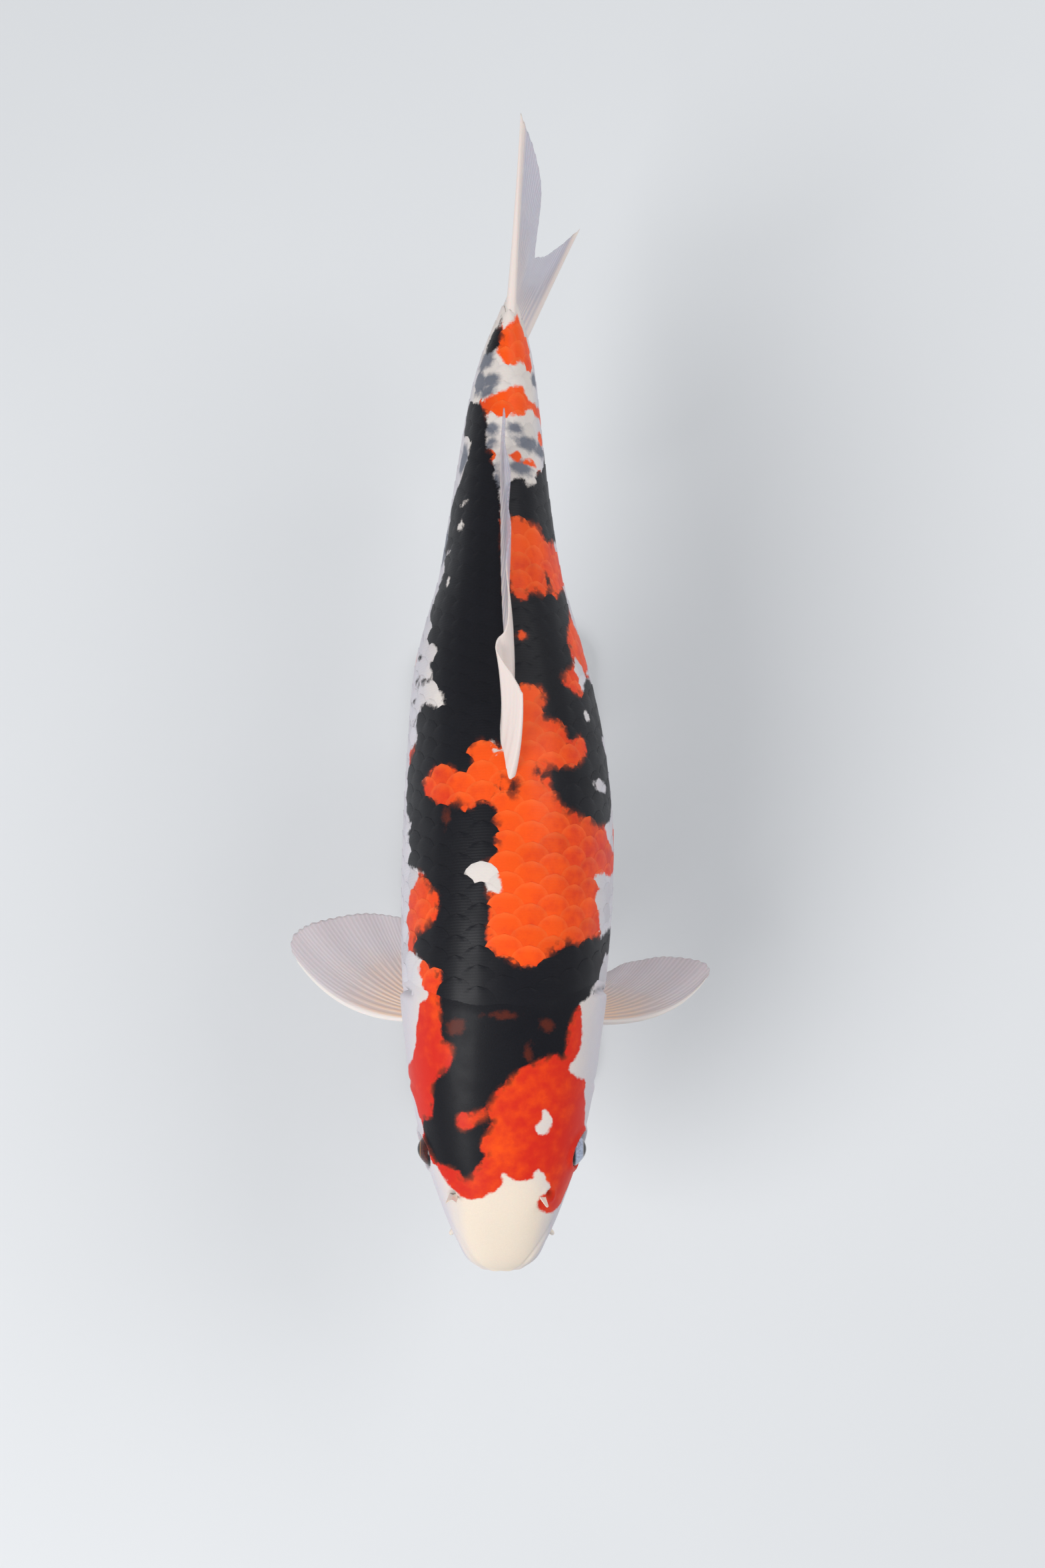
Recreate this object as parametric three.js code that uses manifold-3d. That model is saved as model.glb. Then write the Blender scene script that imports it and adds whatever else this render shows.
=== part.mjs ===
// A life-size koi carp, swimming, held level over a flat base by two short rods.
//
// Units are millimetres. +Z is up, the fish faces -Y and its left side is +X. The origin is the
// centre of the base's underside. Inside the fish's own group the origin is the tip of the snout
// at the level of the lateral line: x is to the fish's left, y runs back along the body and z is up.

import * as THREE from "three";
import { mergeVertices } from "three/addons/utils/BufferGeometryUtils.js";
import Module from "manifold-3d";

const wasm = await Module();
wasm.setup();

// ---- driving dimensions ----

const bodyLength = 536; // snout to the end of the flesh in the tail fin
const axisHeight = 168; // lateral line above the floor
const balanceAlong = 236; // the fish balances this far behind its snout
const gap = 0.3; // between two solids that meet

const bodyRings = 38;
const bodySides = 25;

const eye = { radius: 10.2, side: 34, along: 64, up: 9 };
const base = { length: 300, width: 100, thickness: 12, edge: 1.5, corner: 26 };
const rod = { radius: 5, alongs: [168, 306], footRadius: 13, footThickness: 3 };

const colours = {
  skin: "#e9e2da",
  fin: "#e3dcd6",
  eye: "#2a1812",
  paint: "#d9d8d4",
  steel: "#b9bcc0",
};

// ---- curves that give the body its shape ----

// A smooth curve through [place, value] pairs. Places are spread by their square root, which
// rounds the snout off.
function through(pairs) {
  const at = pairs.map(([place]) => Math.sqrt(place / bodyLength));
  const value = pairs.map((pair) => pair[1]);
  const slope = at.map((_, i) => {
    const before = Math.max(i - 1, 0);
    const after = Math.min(i + 1, at.length - 1);
    return (value[after] - value[before]) / (at[after] - at[before]);
  });
  return (place) => {
    const q = Math.sqrt(THREE.MathUtils.clamp(place / bodyLength, 0, 1));
    let i = 0;
    while (i < at.length - 2 && q > at[i + 1]) i += 1;
    const span = at[i + 1] - at[i];
    const t = (q - at[i]) / span;
    const keep = 1 - t;
    return (
      value[i] * keep * keep * (1 + 2 * t) +
      value[i + 1] * t * t * (3 - 2 * t) +
      span * t * keep * (slope[i] * keep - slope[i + 1] * t)
    );
  };
}

const halfWidth = through([
  [0, 0], [5, 16.3], [14, 23], [30, 30.5], [65, 42], [100, 50], [140, 54.8], [200, 58.2],
  [245, 57.8], [290, 54], [325, 48.8], [350, 42.5], [378, 34.8], [430, 26.8], [480, 20],
  [505, 15], [523, 9], [536, 3.5],
]);
const backHeight = through([
  [0, -11], [5, 3], [14, 12], [30, 23.5], [65, 38], [100, 51], [140, 63], [180, 71],
  [225, 75.5], [260, 75], [300, 70.5], [350, 61], [400, 50], [450, 40], [490, 34], [536, 32],
]);
const bellyDepth = through([
  [0, -11], [5, -23], [14, -30], [30, -37.5], [65, -49], [100, -58], [140, -65], [180, -69.5],
  [225, -71], [260, -70], [300, -66], [350, -57], [400, -46], [450, -37], [490, -31.5], [536, -30],
]);
const widestLevel = through([[0, -11], [20, -9], [60, -4], [110, -5], [180, -7], [300, -4], [536, 1]]);
const sideways = through([
  [0, 0], [60, 0.4], [140, 1], [200, 3], [240, 3.5], [283, 2.4], [330, -0.4], [400, -0.8],
  [450, -0.2], [490, 1.4], [536, 5],
]);
const squareness = through([[0, 2], [30, 2.35], [100, 2.45], [180, 2.2], [350, 2.05], [536, 2]]);

// A point on the body: along from the snout, turn in radians from the left flank over the back.
function bodyPoint(along, turn, grow = 0) {
  const power = 2 / squareness(along);
  const level = widestLevel(along);
  const across = Math.cos(turn);
  const upward = Math.sin(turn);
  const reach = upward > 0 ? backHeight(along) - level : level - bellyDepth(along);
  const rounded = (value) => Math.sign(value) * Math.abs(value) ** power;
  return new THREE.Vector3(
    sideways(along) + (halfWidth(along) + grow) * rounded(across),
    along,
    level + (reach + grow) * rounded(upward),
  );
}

// ---- making and cutting solids ----

function geometryOf(points, faces) {
  const geometry = new THREE.BufferGeometry().setFromPoints(points);
  geometry.setIndex(faces.flat());
  return geometry;
}

function solidOf(geometry) {
  const bare = geometry.clone();
  bare.deleteAttribute("normal");
  bare.deleteAttribute("uv");
  const merged = mergeVertices(bare, 1e-3);
  return new wasm.Manifold(
    new wasm.Mesh({
      numProp: 3,
      vertProperties: new Float32Array(merged.attributes.position.array),
      triVerts: new Uint32Array(merged.index.array),
    }),
  );
}

function geometryFrom(solid) {
  const mesh = solid.getMesh();
  const geometry = new THREE.BufferGeometry();
  geometry.setAttribute("position", new THREE.BufferAttribute(mesh.vertProperties, 3));
  geometry.setIndex(new THREE.BufferAttribute(mesh.triVerts, 1));
  return geometry;
}

// The largest separate piece of a solid.
function largest(solid) {
  return solid.decompose().sort((a, b) => b.volume() - a.volume())[0];
}

// Rings of points, joined in a tube that closes on one point at each end. Each ring turns
// right-handed about the way the tube runs.
function closedTube(first, rings, last) {
  const sides = rings[0].length;
  const points = [first, ...rings.flat(), last];
  const faces = [];
  for (let k = 0; k < sides; k += 1) {
    const next = (k + 1) % sides;
    faces.push([0, 1 + next, 1 + k]);
    for (let ring = 0; ring < rings.length - 1; ring += 1) {
      const here = 1 + ring * sides;
      faces.push([here + k, here + next, here + sides + k]);
      faces.push([here + next, here + sides + next, here + sides + k]);
    }
    const end = 1 + (rings.length - 1) * sides;
    faces.push([end + k, end + next, points.length - 1]);
  }
  return geometryOf(points, faces);
}

// A solid cut from a shape drawn in the side view (along, up) that runs from x = from to x = to.
function sideCut(shape, from, to) {
  const geometry = new THREE.ExtrudeGeometry(shape, {
    depth: to - from,
    bevelEnabled: false,
    curveSegments: 7,
  });
  const turned = new THREE.Matrix4().makeBasis(
    new THREE.Vector3(0, 1, 0),
    new THREE.Vector3(0, 0, 1),
    new THREE.Vector3(1, 0, 0),
  );
  geometry.applyMatrix4(turned);
  geometry.translate(from, 0, 0);
  return solidOf(geometry);
}

// ---- the body ----

function wholeBody(grow = 0) {
  const rings = [];
  for (let ring = 1; ring <= bodyRings; ring += 1) {
    const along = bodyLength * (ring / bodyRings) ** 1.5;
    const points = [];
    for (let side = 0; side < bodySides; side += 1) {
      points.push(bodyPoint(along, (-2 * Math.PI * side) / bodySides, grow));
    }
    rings.push(points);
  }
  rings.at(-1).forEach((point) => (point.y += grow));
  const snout = new THREE.Vector3(0, -grow, widestLevel(0));
  const end = new THREE.Vector3(sideways(bodyLength), bodyLength + grow, 1);
  return solidOf(closedTube(snout, rings, end));
}

function eyeBall(side, grow = 0) {
  const ball = new THREE.SphereGeometry(eye.radius + grow, 16, 10);
  ball.rotateZ(Math.PI / 2);
  ball.translate(side * eye.side + sideways(eye.along), eye.along, eye.up);
  return solidOf(ball);
}

// The rear edge of the head is an arc that bulges back at mid height.
const headEdge = { along: 46, up: 6, radius: 101 };

function headCut() {
  const wall = new THREE.Shape();
  const { along, up, radius } = headEdge;
  wall.absarc(along, up, radius + gap, -1.4, 1.4, false);
  wall.absarc(along, up, radius, 1.4, -1.4, true);
  return sideCut(wall, -90, 90);
}

// The gill cover's outline in the side view, larger by grow.
function gillOutline(grow) {
  const shape = new THREE.Shape();
  const { along, up, radius } = headEdge;
  shape.absarc(along, up, radius - gap + grow, -0.56, 0.26, false);
  shape.bezierCurveTo(128, 36 + grow, 112, 38 + grow, 102 - grow, 27);
  shape.bezierCurveTo(94 - grow, 10, 92 - grow, -20, 97 - grow, -44 - grow);
  shape.bezierCurveTo(104, -53 - grow, 118, -54 - grow, 129, -49 - grow);
  return shape;
}

// The mouth line and the back of the lower jaw, as a thin wall seen from the side.
function jawCut() {
  const wall = new THREE.Shape();
  wall.moveTo(-6, -15);
  wall.bezierCurveTo(6, -15.5, 16, -18, 24, -25);
  wall.bezierCurveTo(30, -33, 40, -44, 48, -62);
  wall.lineTo(48 + gap, -62);
  wall.bezierCurveTo(40 + gap, -44, 30 + gap, -33, 24 + gap, -25 + gap);
  wall.bezierCurveTo(16, -18 + gap, 6, -15.5 + gap, -6, -15 + gap);
  wall.closePath();
  return sideCut(wall, -60, 60);
}

function crossCut(along) {
  const wall = new THREE.BoxGeometry(200, gap, 200);
  wall.translate(0, along, 0);
  return solidOf(wall);
}

// The body's solids by name, from the snout back.
function fleshParts() {
  let flesh = wholeBody();
  for (const side of [-1, 1]) flesh = flesh.subtract(eyeBall(side, gap));
  for (const cutter of [headCut(), crossCut(252), crossCut(398)]) flesh = flesh.subtract(cutter);
  const pieces = flesh.decompose().filter((piece) => piece.volume() > 100);
  const front = (piece) => piece.boundingBox().min[1];
  let [head, trunkFront, trunkRear, tailStem] = pieces.sort((a, b) => front(a) - front(b));

  const parts = {};
  for (const [name, side] of [["right", -1], ["left", 1]]) {
    const [inner, outer] = [30, 80];
    const plate = (grow) => {
      const low = side > 0 ? inner - grow : -outer;
      const high = side > 0 ? outer : -inner + grow;
      return sideCut(gillOutline(grow), low, high);
    };
    parts[`gill_cover_${name}`] = largest(head.intersect(plate(0)));
    head = head.subtract(plate(gap));
  }
  head = head.subtract(jawCut());
  const [skull, jaw] = head.decompose().sort((a, b) => b.volume() - a.volume());
  return {
    head: skull,
    lower_jaw: jaw,
    ...parts,
    trunk_front: trunkFront,
    trunk_rear: trunkRear,
    tail_stem: tailStem,
  };
}

// ---- fins ----

// Rays are rows of [share, root, tip]: share runs from the leading ray, 0, to the last one, 1.
// Between them the roots and tips follow smooth curves.
function rayCurves(rays) {
  const shares = rays.map(([share]) => share);
  const line = (index) => new THREE.CatmullRomCurve3(rays.map((ray) => new THREE.Vector3(...ray[index])));
  const [roots, tips] = [line(1), line(2)];
  return (share) => {
    let i = 0;
    while (i < shares.length - 2 && share > shares[i + 1]) i += 1;
    const t = (i + (share - shares[i]) / (shares[i + 1] - shares[i])) / (shares.length - 1);
    return [roots.getPoint(t), tips.getPoint(t)];
  };
}

// How much a fin thickens at its stout edge rays: extra at the very edge of the root, fading over
// a share of the fin and towards the tips. both is for the tail, which has two such edges.
function rimAt({ extra, spread, both = false }, share, out) {
  const near = (away) => Math.exp(-((away / spread) ** 2));
  return extra * (1 - 0.85 * out) * (near(share) + (both ? near(1 - share) : 0));
}

// A fin is a sheet of rays with two faces and a rim. bow bends each ray forward in the middle.
function finSolid({ rays, from = 0, to = 1, columns, rows, root, edge, rim, bow = [0, 0, 0] }) {
  const ray = rayCurves(rays);
  const bend = new THREE.Vector3(...bow);
  const place = (share, out) => {
    const [start, tip] = ray(THREE.MathUtils.clamp(share, 0, 1));
    const fade = 4 * out * (1 - out) * (1 - share);
    return start.lerp(tip, out).addScaledVector(bend, fade);
  };
  const faces = [[], []];
  for (let column = 0; column <= columns; column += 1) {
    for (let row = 0; row <= rows; row += 1) {
      const share = from + ((to - from) * column) / columns;
      const out = row / rows;
      const step = 0.01;
      const aside = place(share + step, out).sub(place(share - step, out));
      const outward = place(share, out + step).sub(place(share, out - step));
      const normal = aside.cross(outward).normalize();
      const half = (root + (edge - root) * out ** 0.7 + rimAt(rim, share, out)) / 2;
      const point = place(share, out);
      faces[0].push(point.clone().addScaledVector(normal, half));
      faces[1].push(point.clone().addScaledVector(normal, -half));
    }
  }
  const count = (columns + 1) * (rows + 1);
  const at = (side, column, row) => side * count + column * (rows + 1) + row;
  const triangles = [];
  const quad = (a, b, c, d) => triangles.push([a, b, c], [a, c, d]);
  for (let column = 0; column < columns; column += 1) {
    for (let row = 0; row < rows; row += 1) {
      quad(at(0, column, row), at(0, column + 1, row), at(0, column + 1, row + 1), at(0, column, row + 1));
      quad(at(1, column, row), at(1, column, row + 1), at(1, column + 1, row + 1), at(1, column + 1, row));
    }
    quad(at(1, column, 0), at(1, column + 1, 0), at(0, column + 1, 0), at(0, column, 0));
    quad(at(0, column, rows), at(0, column + 1, rows), at(1, column + 1, rows), at(1, column, rows));
  }
  for (let row = 0; row < rows; row += 1) {
    quad(at(0, 0, row), at(0, 0, row + 1), at(1, 0, row + 1), at(1, 0, row));
    quad(at(1, columns, row), at(1, columns, row + 1), at(0, columns, row + 1), at(0, columns, row));
  }
  return solidOf(geometryOf(faces.flat(), triangles));
}

const ridge = (along, x = 0, sink = 3) => [sideways(along) + x, along, backHeight(along) - sink];
const keel = (along, x = 0, sink = 3) => [sideways(along) + x, along, bellyDepth(along) + sink];
const mirrored = (rays) => rays.map(([share, [x, y, z], [tx, ty, tz]]) => [share, [-x, y, z], [-tx, ty, tz]]);

const dorsalRays = [
  [0, ridge(249, 1.8), [11.5, 292, 101]],
  [0.05, ridge(256, 1), [9, 296, 102]],
  [0.1, ridge(263, -0.5), [5, 303, 102]],
  [0.15, ridge(270, -2), [-1, 314, 101.5]],
  [0.2, ridge(280, -1.5), [-0.4, 321, 100.5]],
  [0.24, ridge(290, 3), [3, 327, 99.5]],
  [0.3, ridge(304, 4.5), [3.6, 345, 96]],
  [0.45, ridge(331, 2.2), [4, 373, 87]],
  [0.63, ridge(363, 1), [4.6, 400, 76]],
  [0.82, ridge(397, 0.6), [3.3, 430, 63]],
  [1, ridge(430, 0.4), [0.6, 459, 53]],
];
const analRays = [
  [0, keel(420), [2.5, 459, -82]],
  [0.25, keel(427), [3.5, 468, -77]],
  [0.6, keel(437), [3, 473, -63]],
  [1, keel(448), [2, 473, -48]],
];
const pelvicRays = [
  [0, [22, 259, -60], [39, 318, -86]],
  [0.3, [19, 263, -62], [36, 325, -89]],
  [0.65, [15, 267, -63], [26, 322, -89]],
  [1, [11, 271, -64], [15, 307, -83]],
];
const rightPectoralRays = [
  [0, [-41, 134, -41], [-116.5, 168, -56]],
  [0.1, [-41.5, 137, -41], [-120.5, 177.5, -56]],
  [0.2, [-41.7, 139, -41.5], [-117.5, 185.5, -55.5]],
  [0.4, [-42, 142, -42], [-104, 191.5, -53.5]],
  [0.7, [-43, 147, -43], [-78, 195.5, -50.5]],
  [1, [-44, 152, -44], [-55, 192.5, -47]],
];
const leftPectoralRays = [
  [0, [42, 133.5, -43], [115, 157.5, -60]],
  [0.1, [42.3, 135.5, -44.5], [118.7, 164, -64]],
  [0.2, [42.6, 137, -45.5], [114.5, 169, -67]],
  [0.4, [43, 139.5, -47.5], [98, 172.5, -72.5]],
  [0.7, [43, 143.5, -50], [75, 170, -76]],
  [1, [43, 147, -52], [58, 163, -76]],
];
const tailRays = [
  [0, [4.8, 519, 30], [10.5, 620, 70]],
  [0.06, [4.8, 525, 26], [13, 614.5, 65]],
  [0.16, [5, 531, 20], [18, 606, 55]],
  [0.26, [5, 534, 14], [21, 595, 43]],
  [0.37, [5.2, 535, 8], [21.5, 583, 28]],
  [0.5, [5.4, 535, 0], [18, 568, 2]],
  [0.63, [5.8, 535, -8], [21, 573, -15]],
  [0.74, [6.4, 534, -14], [26, 581, -31]],
  [0.85, [7, 531, -20], [33, 592, -46]],
  [0.94, [8, 525, -26], [41, 604, -57]],
  [1, [8.5, 519, -30], [46, 610, -61]],
];

function finParts(body) {
  const pectoral = { columns: 12, rows: 6, root: 6, edge: 1, rim: { extra: 1, spread: 0.08 } };
  const pelvic = { columns: 9, rows: 6, root: 4.5, edge: 1, rim: { extra: 1, spread: 0.1 } };
  const tailRim = { extra: 4.5, spread: 0.07, both: true };
  const tail = { rays: tailRays, columns: 13, rows: 6, root: 3.4, edge: 1, rim: tailRim };
  const fins = {
    dorsal_fin: {
      rays: dorsalRays,
      bow: [2, 0, 0],
      columns: 20,
      rows: 4,
      root: 4,
      edge: 1.1,
      rim: { extra: 4.5, spread: 0.1 },
    },
    anal_fin: {
      rays: analRays,
      columns: 9,
      rows: 6,
      root: 3.6,
      edge: 1,
      rim: { extra: 1.2, spread: 0.1 },
    },
    pelvic_fin_right: { rays: mirrored(pelvicRays), ...pelvic },
    pelvic_fin_left: { rays: pelvicRays, ...pelvic },
    pectoral_fin_right: { rays: rightPectoralRays, bow: [-5, -10.5, 0], ...pectoral },
    pectoral_fin_left: { rays: leftPectoralRays, bow: [7, -9, 2], ...pectoral },
    tail_fin_upper: { ...tail, from: 0, to: 0.496 },
    tail_fin_lower: { ...tail, from: 0.504, to: 1 },
  };
  return Object.fromEntries(
    Object.entries(fins).map(([name, fin]) => [name, largest(finSolid(fin).subtract(body))]),
  );
}

// ---- barbels and nostril flaps ----

// A round feeler along a curve, from its root to a blunt tip.
function feeler(path, rootRadius, tipRadius) {
  const steps = 9;
  const sides = 8;
  const curve = new THREE.CatmullRomCurve3(path.map((point) => new THREE.Vector3(...point)));
  const frames = curve.computeFrenetFrames(steps);
  const rings = [];
  for (let step = 0; step <= steps; step += 1) {
    const radius = rootRadius + ((tipRadius - rootRadius) * step) / steps;
    const centre = curve.getPointAt(step / steps);
    const ring = [];
    for (let side = 0; side < sides; side += 1) {
      const turn = (2 * Math.PI * side) / sides;
      ring.push(
        centre
          .clone()
          .addScaledVector(frames.normals[step], radius * Math.cos(turn))
          .addScaledVector(frames.binormals[step], radius * Math.sin(turn)),
      );
    }
    rings.push(ring);
  }
  return solidOf(closedTube(curve.getPoint(0), rings, curve.getPoint(1)));
}

const lipBarbel = [[16.3, 8.5, -12.5], [17.6, 8, -16], [18, 7.8, -19.5], [17.4, 9, -23.5]];
const cornerBarbel = [[22, 22, -23], [25.3, 20.5, -25.5], [27.4, 18.5, -30], [27.6, 18.3, -35.5], [26.6, 20.5, -41]];
const leftNostrilRays = [
  [0, [22.8, 41.5, 19.5], [25, 34.4, 26]],
  [0.5, [21.2, 40.3, 20.8], [24.4, 34, 27]],
  [1, [19, 41, 21.3], [23.6, 34.6, 27]],
];
const rightNostrilRays = [
  [0, [-27, 41, 18], [-28.8, 35.8, 24]],
  [0.5, [-25, 39.8, 20], [-25.6, 37.6, 25]],
  [1, [-22.3, 40.8, 21], [-23.2, 35.9, 26]],
];

function smallParts(body) {
  const parts = {};
  for (const [name, side] of [["right", -1], ["left", 1]]) {
    const flip = (path) => path.map(([x, y, z]) => [side * x, y, z]);
    parts[`lip_barbel_${name}`] = feeler(flip(lipBarbel), 1.5, 0.6);
    parts[`corner_barbel_${name}`] = feeler(flip(cornerBarbel), 2, 0.7);
    const rays = side > 0 ? leftNostrilRays : rightNostrilRays;
    const rim = { extra: 0, spread: 1 };
    parts[`nostril_flap_${name}`] = finSolid({ rays, columns: 6, rows: 3, root: 1.6, edge: 0.8, rim });
  }
  return Object.fromEntries(
    Object.entries(parts).map(([name, part]) => [name, largest(part.subtract(body))]),
  );
}

// ---- the stand ----

function standBase() {
  const { length, width, thickness, edge, corner } = base;
  const [halfLong, halfWide] = [length / 2 - edge, width / 2 - edge];
  const plan = new THREE.Shape();
  plan.absarc(halfWide - corner, halfLong - corner, corner, 0, Math.PI / 2, false);
  plan.absarc(corner - halfWide, halfLong - corner, corner, Math.PI / 2, Math.PI, false);
  plan.absarc(corner - halfWide, corner - halfLong, corner, Math.PI, 1.5 * Math.PI, false);
  plan.absarc(halfWide - corner, corner - halfLong, corner, 1.5 * Math.PI, 2 * Math.PI, false);
  plan.closePath();
  const plate = new THREE.ExtrudeGeometry(plan, {
    depth: thickness - 2 * edge,
    bevelThickness: edge,
    bevelSize: edge,
    bevelSegments: 1,
    curveSegments: 4,
  });
  return plate.translate(0, 0, edge);
}

function standFoot() {
  const { footRadius, footThickness } = rod;
  const chamfer = 0.8;
  const profile = [
    [0, 0],
    [footRadius, 0],
    [footRadius, footThickness - chamfer],
    [footRadius - chamfer, footThickness],
    [0, footThickness],
  ];
  return turned(profile);
}

// A solid of revolution about +Z from [radius, height] pairs that start and end on the axis.
function turned(profile) {
  const lathe = new THREE.LatheGeometry(profile.map(([radius, up]) => new THREE.Vector2(radius, up)), 24);
  return lathe.rotateX(Math.PI / 2);
}

// ---- the scene graph ----

const koi = new THREE.Group();
const fish = new THREE.Group();
const stand = new THREE.Group();
fish.position.set(0, -balanceAlong, axisHeight);
koi.add(fish, stand);

function material(colour, roughness, metalness = 0) {
  return new THREE.MeshStandardMaterial({ color: colour, roughness, metalness });
}

function addMesh(group, name, geometry, look) {
  const mesh = new THREE.Mesh(geometry, look);
  mesh.name = name;
  group.add(mesh);
  return mesh;
}

const skinLook = material(colours.skin, 0.35);
const finLook = material(colours.fin, 0.4);
const eyeLook = material(colours.eye, 0.1);

for (const [name, solid] of Object.entries(fleshParts())) addMesh(fish, name, geometryFrom(solid), skinLook);
const grownBody = wholeBody(gap);
for (const [name, solid] of Object.entries(finParts(grownBody))) addMesh(fish, name, geometryFrom(solid), finLook);
for (const [name, solid] of Object.entries(smallParts(grownBody))) addMesh(fish, name, geometryFrom(solid), skinLook);
addMesh(fish, "eye_right", geometryFrom(eyeBall(-1)), eyeLook);
addMesh(fish, "eye_left", geometryFrom(eyeBall(1)), eyeLook);

addMesh(stand, "stand_base", standBase(), material(colours.paint, 0.5));
rod.alongs.forEach((along, index) => {
  const place = index === 0 ? "front" : "rear";
  const steel = material(colours.steel, 0.3, 1);
  const y = along - balanceAlong;
  const foot = addMesh(stand, `stand_foot_${place}`, standFoot(), steel);
  foot.position.set(0, y, base.thickness + gap);
  const bottom = base.thickness + rod.footThickness + 2 * gap;
  const post = turned([[0, 0], [rod.radius, 0], [rod.radius, axisHeight], [0, axisHeight]]);
  post.translate(sideways(along), along, bottom - axisHeight);
  const trimmed = largest(solidOf(post).subtract(grownBody));
  foot.position.x = sideways(along);
  addMesh(fish, `stand_rod_${place}`, geometryFrom(trimmed), steel);
});

export default koi;
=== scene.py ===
import math

import bpy
import numpy as np
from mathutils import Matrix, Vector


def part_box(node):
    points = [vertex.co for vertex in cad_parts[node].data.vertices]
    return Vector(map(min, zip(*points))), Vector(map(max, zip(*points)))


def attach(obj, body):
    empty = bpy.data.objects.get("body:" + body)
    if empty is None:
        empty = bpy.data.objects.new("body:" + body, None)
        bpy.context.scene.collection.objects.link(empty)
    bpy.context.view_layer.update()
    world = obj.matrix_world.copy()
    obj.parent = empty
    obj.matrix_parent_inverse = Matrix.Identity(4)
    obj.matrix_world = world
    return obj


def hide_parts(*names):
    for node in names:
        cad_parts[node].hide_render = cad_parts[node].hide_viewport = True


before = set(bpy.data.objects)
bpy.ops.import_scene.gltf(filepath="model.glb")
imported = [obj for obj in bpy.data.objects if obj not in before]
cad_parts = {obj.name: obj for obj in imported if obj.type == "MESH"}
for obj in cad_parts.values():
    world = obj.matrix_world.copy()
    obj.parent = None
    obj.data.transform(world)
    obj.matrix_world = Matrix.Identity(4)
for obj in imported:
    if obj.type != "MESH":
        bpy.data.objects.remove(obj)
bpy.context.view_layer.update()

scene = bpy.context.scene

# A koi carp, life size, held over a flat base by two rods. Each length below is in millimetres of
# the fish's own frame: x to its left, y back from the tip of its snout, z up from its lateral line.
# "along" is the distance back from the snout and "around" the distance over the skin from the
# middle of the back, more than 0 on the fish's left.

headLow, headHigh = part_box("head")
eyeBoxes = [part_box("eye_left"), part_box("eye_right")]
eyeMiddles = [(low + high) / 2 for low, high in eyeBoxes]

eye = {"radius": 10.2, "side": 34, "along": 64, "up": 9, "bulge": 0.7}
headLength = 147
mm = (headHigh.y - headLow.y) / headLength
snout = np.array(
    [
        (eyeMiddles[0].x + eyeMiddles[1].x) / 2,
        headLow.y,
        eyeMiddles[0].z - eye["up"] * mm,
    ]
)

body = {
    "length": 536,
    "halfWidth": [
        (0, 0), (5, 16.3), (14, 23), (30, 30.5), (65, 42), (100, 50), (140, 54.8), (200, 58.2),
        (245, 57.8), (290, 54), (325, 48.8), (350, 42.5), (378, 34.8), (430, 26.8), (480, 20),
        (505, 15), (523, 9), (536, 3.5),
    ],
    "back": [
        (0, -11), (5, 3), (14, 12), (30, 23.5), (65, 38), (100, 51), (140, 63), (180, 71),
        (225, 75.5), (260, 75), (300, 70.5), (350, 61), (400, 50), (450, 40), (490, 34), (536, 32),
    ],
    "belly": [
        (0, -11), (5, -23), (14, -30), (30, -37.5), (65, -49), (100, -58), (140, -65), (180, -69.5),
        (225, -71), (260, -70), (300, -66), (350, -57), (400, -46), (450, -37), (490, -31.5),
        (536, -30),
    ],
    "widestLevel": [(0, -11), (20, -9), (60, -4), (110, -5), (180, -7), (300, -4), (536, 1)],
    "sideways": [
        (0, 0), (60, 0.4), (140, 1), (200, 3), (240, 3.5), (283, 2.4), (330, -0.4), (400, -0.8),
        (450, -0.2), (490, 1.4), (536, 5),
    ],
    "squareness": [(0, 2), (30, 2.35), (100, 2.45), (180, 2.2), (350, 2.05), (536, 2)],
}


def through(pairs):
    at = np.sqrt([place / body["length"] for place, value in pairs])
    value = np.array([value for place, value in pairs], float)
    before = np.maximum(np.arange(len(at)) - 1, 0)
    after = np.minimum(np.arange(len(at)) + 1, len(at) - 1)
    slope = (value[after] - value[before]) / (at[after] - at[before])

    def curve(place):
        q = np.sqrt(np.clip(np.asarray(place, float) / body["length"], 0, 1))
        i = np.clip(np.searchsorted(at, q) - 1, 0, len(at) - 2)
        span = at[i + 1] - at[i]
        t = (q - at[i]) / span
        keep = 1 - t
        ends = value[i] * keep * keep * (1 + 2 * t) + value[i + 1] * t * t * (3 - 2 * t)
        return ends + span * t * keep * (slope[i] * keep - slope[i + 1] * t)

    return curve


halfWidth = through(body["halfWidth"])
backHeight = through(body["back"])
bellyDepth = through(body["belly"])
widestLevel = through(body["widestLevel"])
sideways = through(body["sideways"])
squareness = through(body["squareness"])


# A point of the plain body at a turn in radians from the left flank over the back.
def sectionPoint(along, turn):
    power = 2 / squareness(along)
    level = widestLevel(along)
    across = np.cos(turn)
    upward = np.sin(turn)
    reach = np.where(upward > 0, backHeight(along) - level, level - bellyDepth(along))
    x = sideways(along) + halfWidth(along) * np.sign(across) * np.abs(across) ** power
    z = level + reach * np.sign(upward) * np.abs(upward) ** power
    return np.stack([x, along + 0 * turn, z], -1)


# A table that turns a distance around the skin into a turn of the section.
tableAlong = np.linspace(0, 1, 240) ** 1.5 * body["length"]
tableTurn = np.linspace(math.pi / 2, -math.pi / 2, 321)
tableShare = np.linspace(0, 1, 161)


def makeGirthTable():
    turns = []
    halfGirths = []
    for along in tableAlong:
        points = sectionPoint(np.full(len(tableTurn), along), tableTurn)
        steps = np.linalg.norm(np.diff(points, axis=0), axis=1)
        reached = np.concatenate([[0], np.cumsum(steps)])
        halfGirths.append(reached[-1])
        share = reached / max(reached[-1], 1e-9)
        turns.append(np.interp(tableShare, share, tableTurn) if reached[-1] > 0 else tableTurn[::2])
    return np.array(turns), np.array(halfGirths)


turnTable, halfGirthTable = makeGirthTable()


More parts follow.
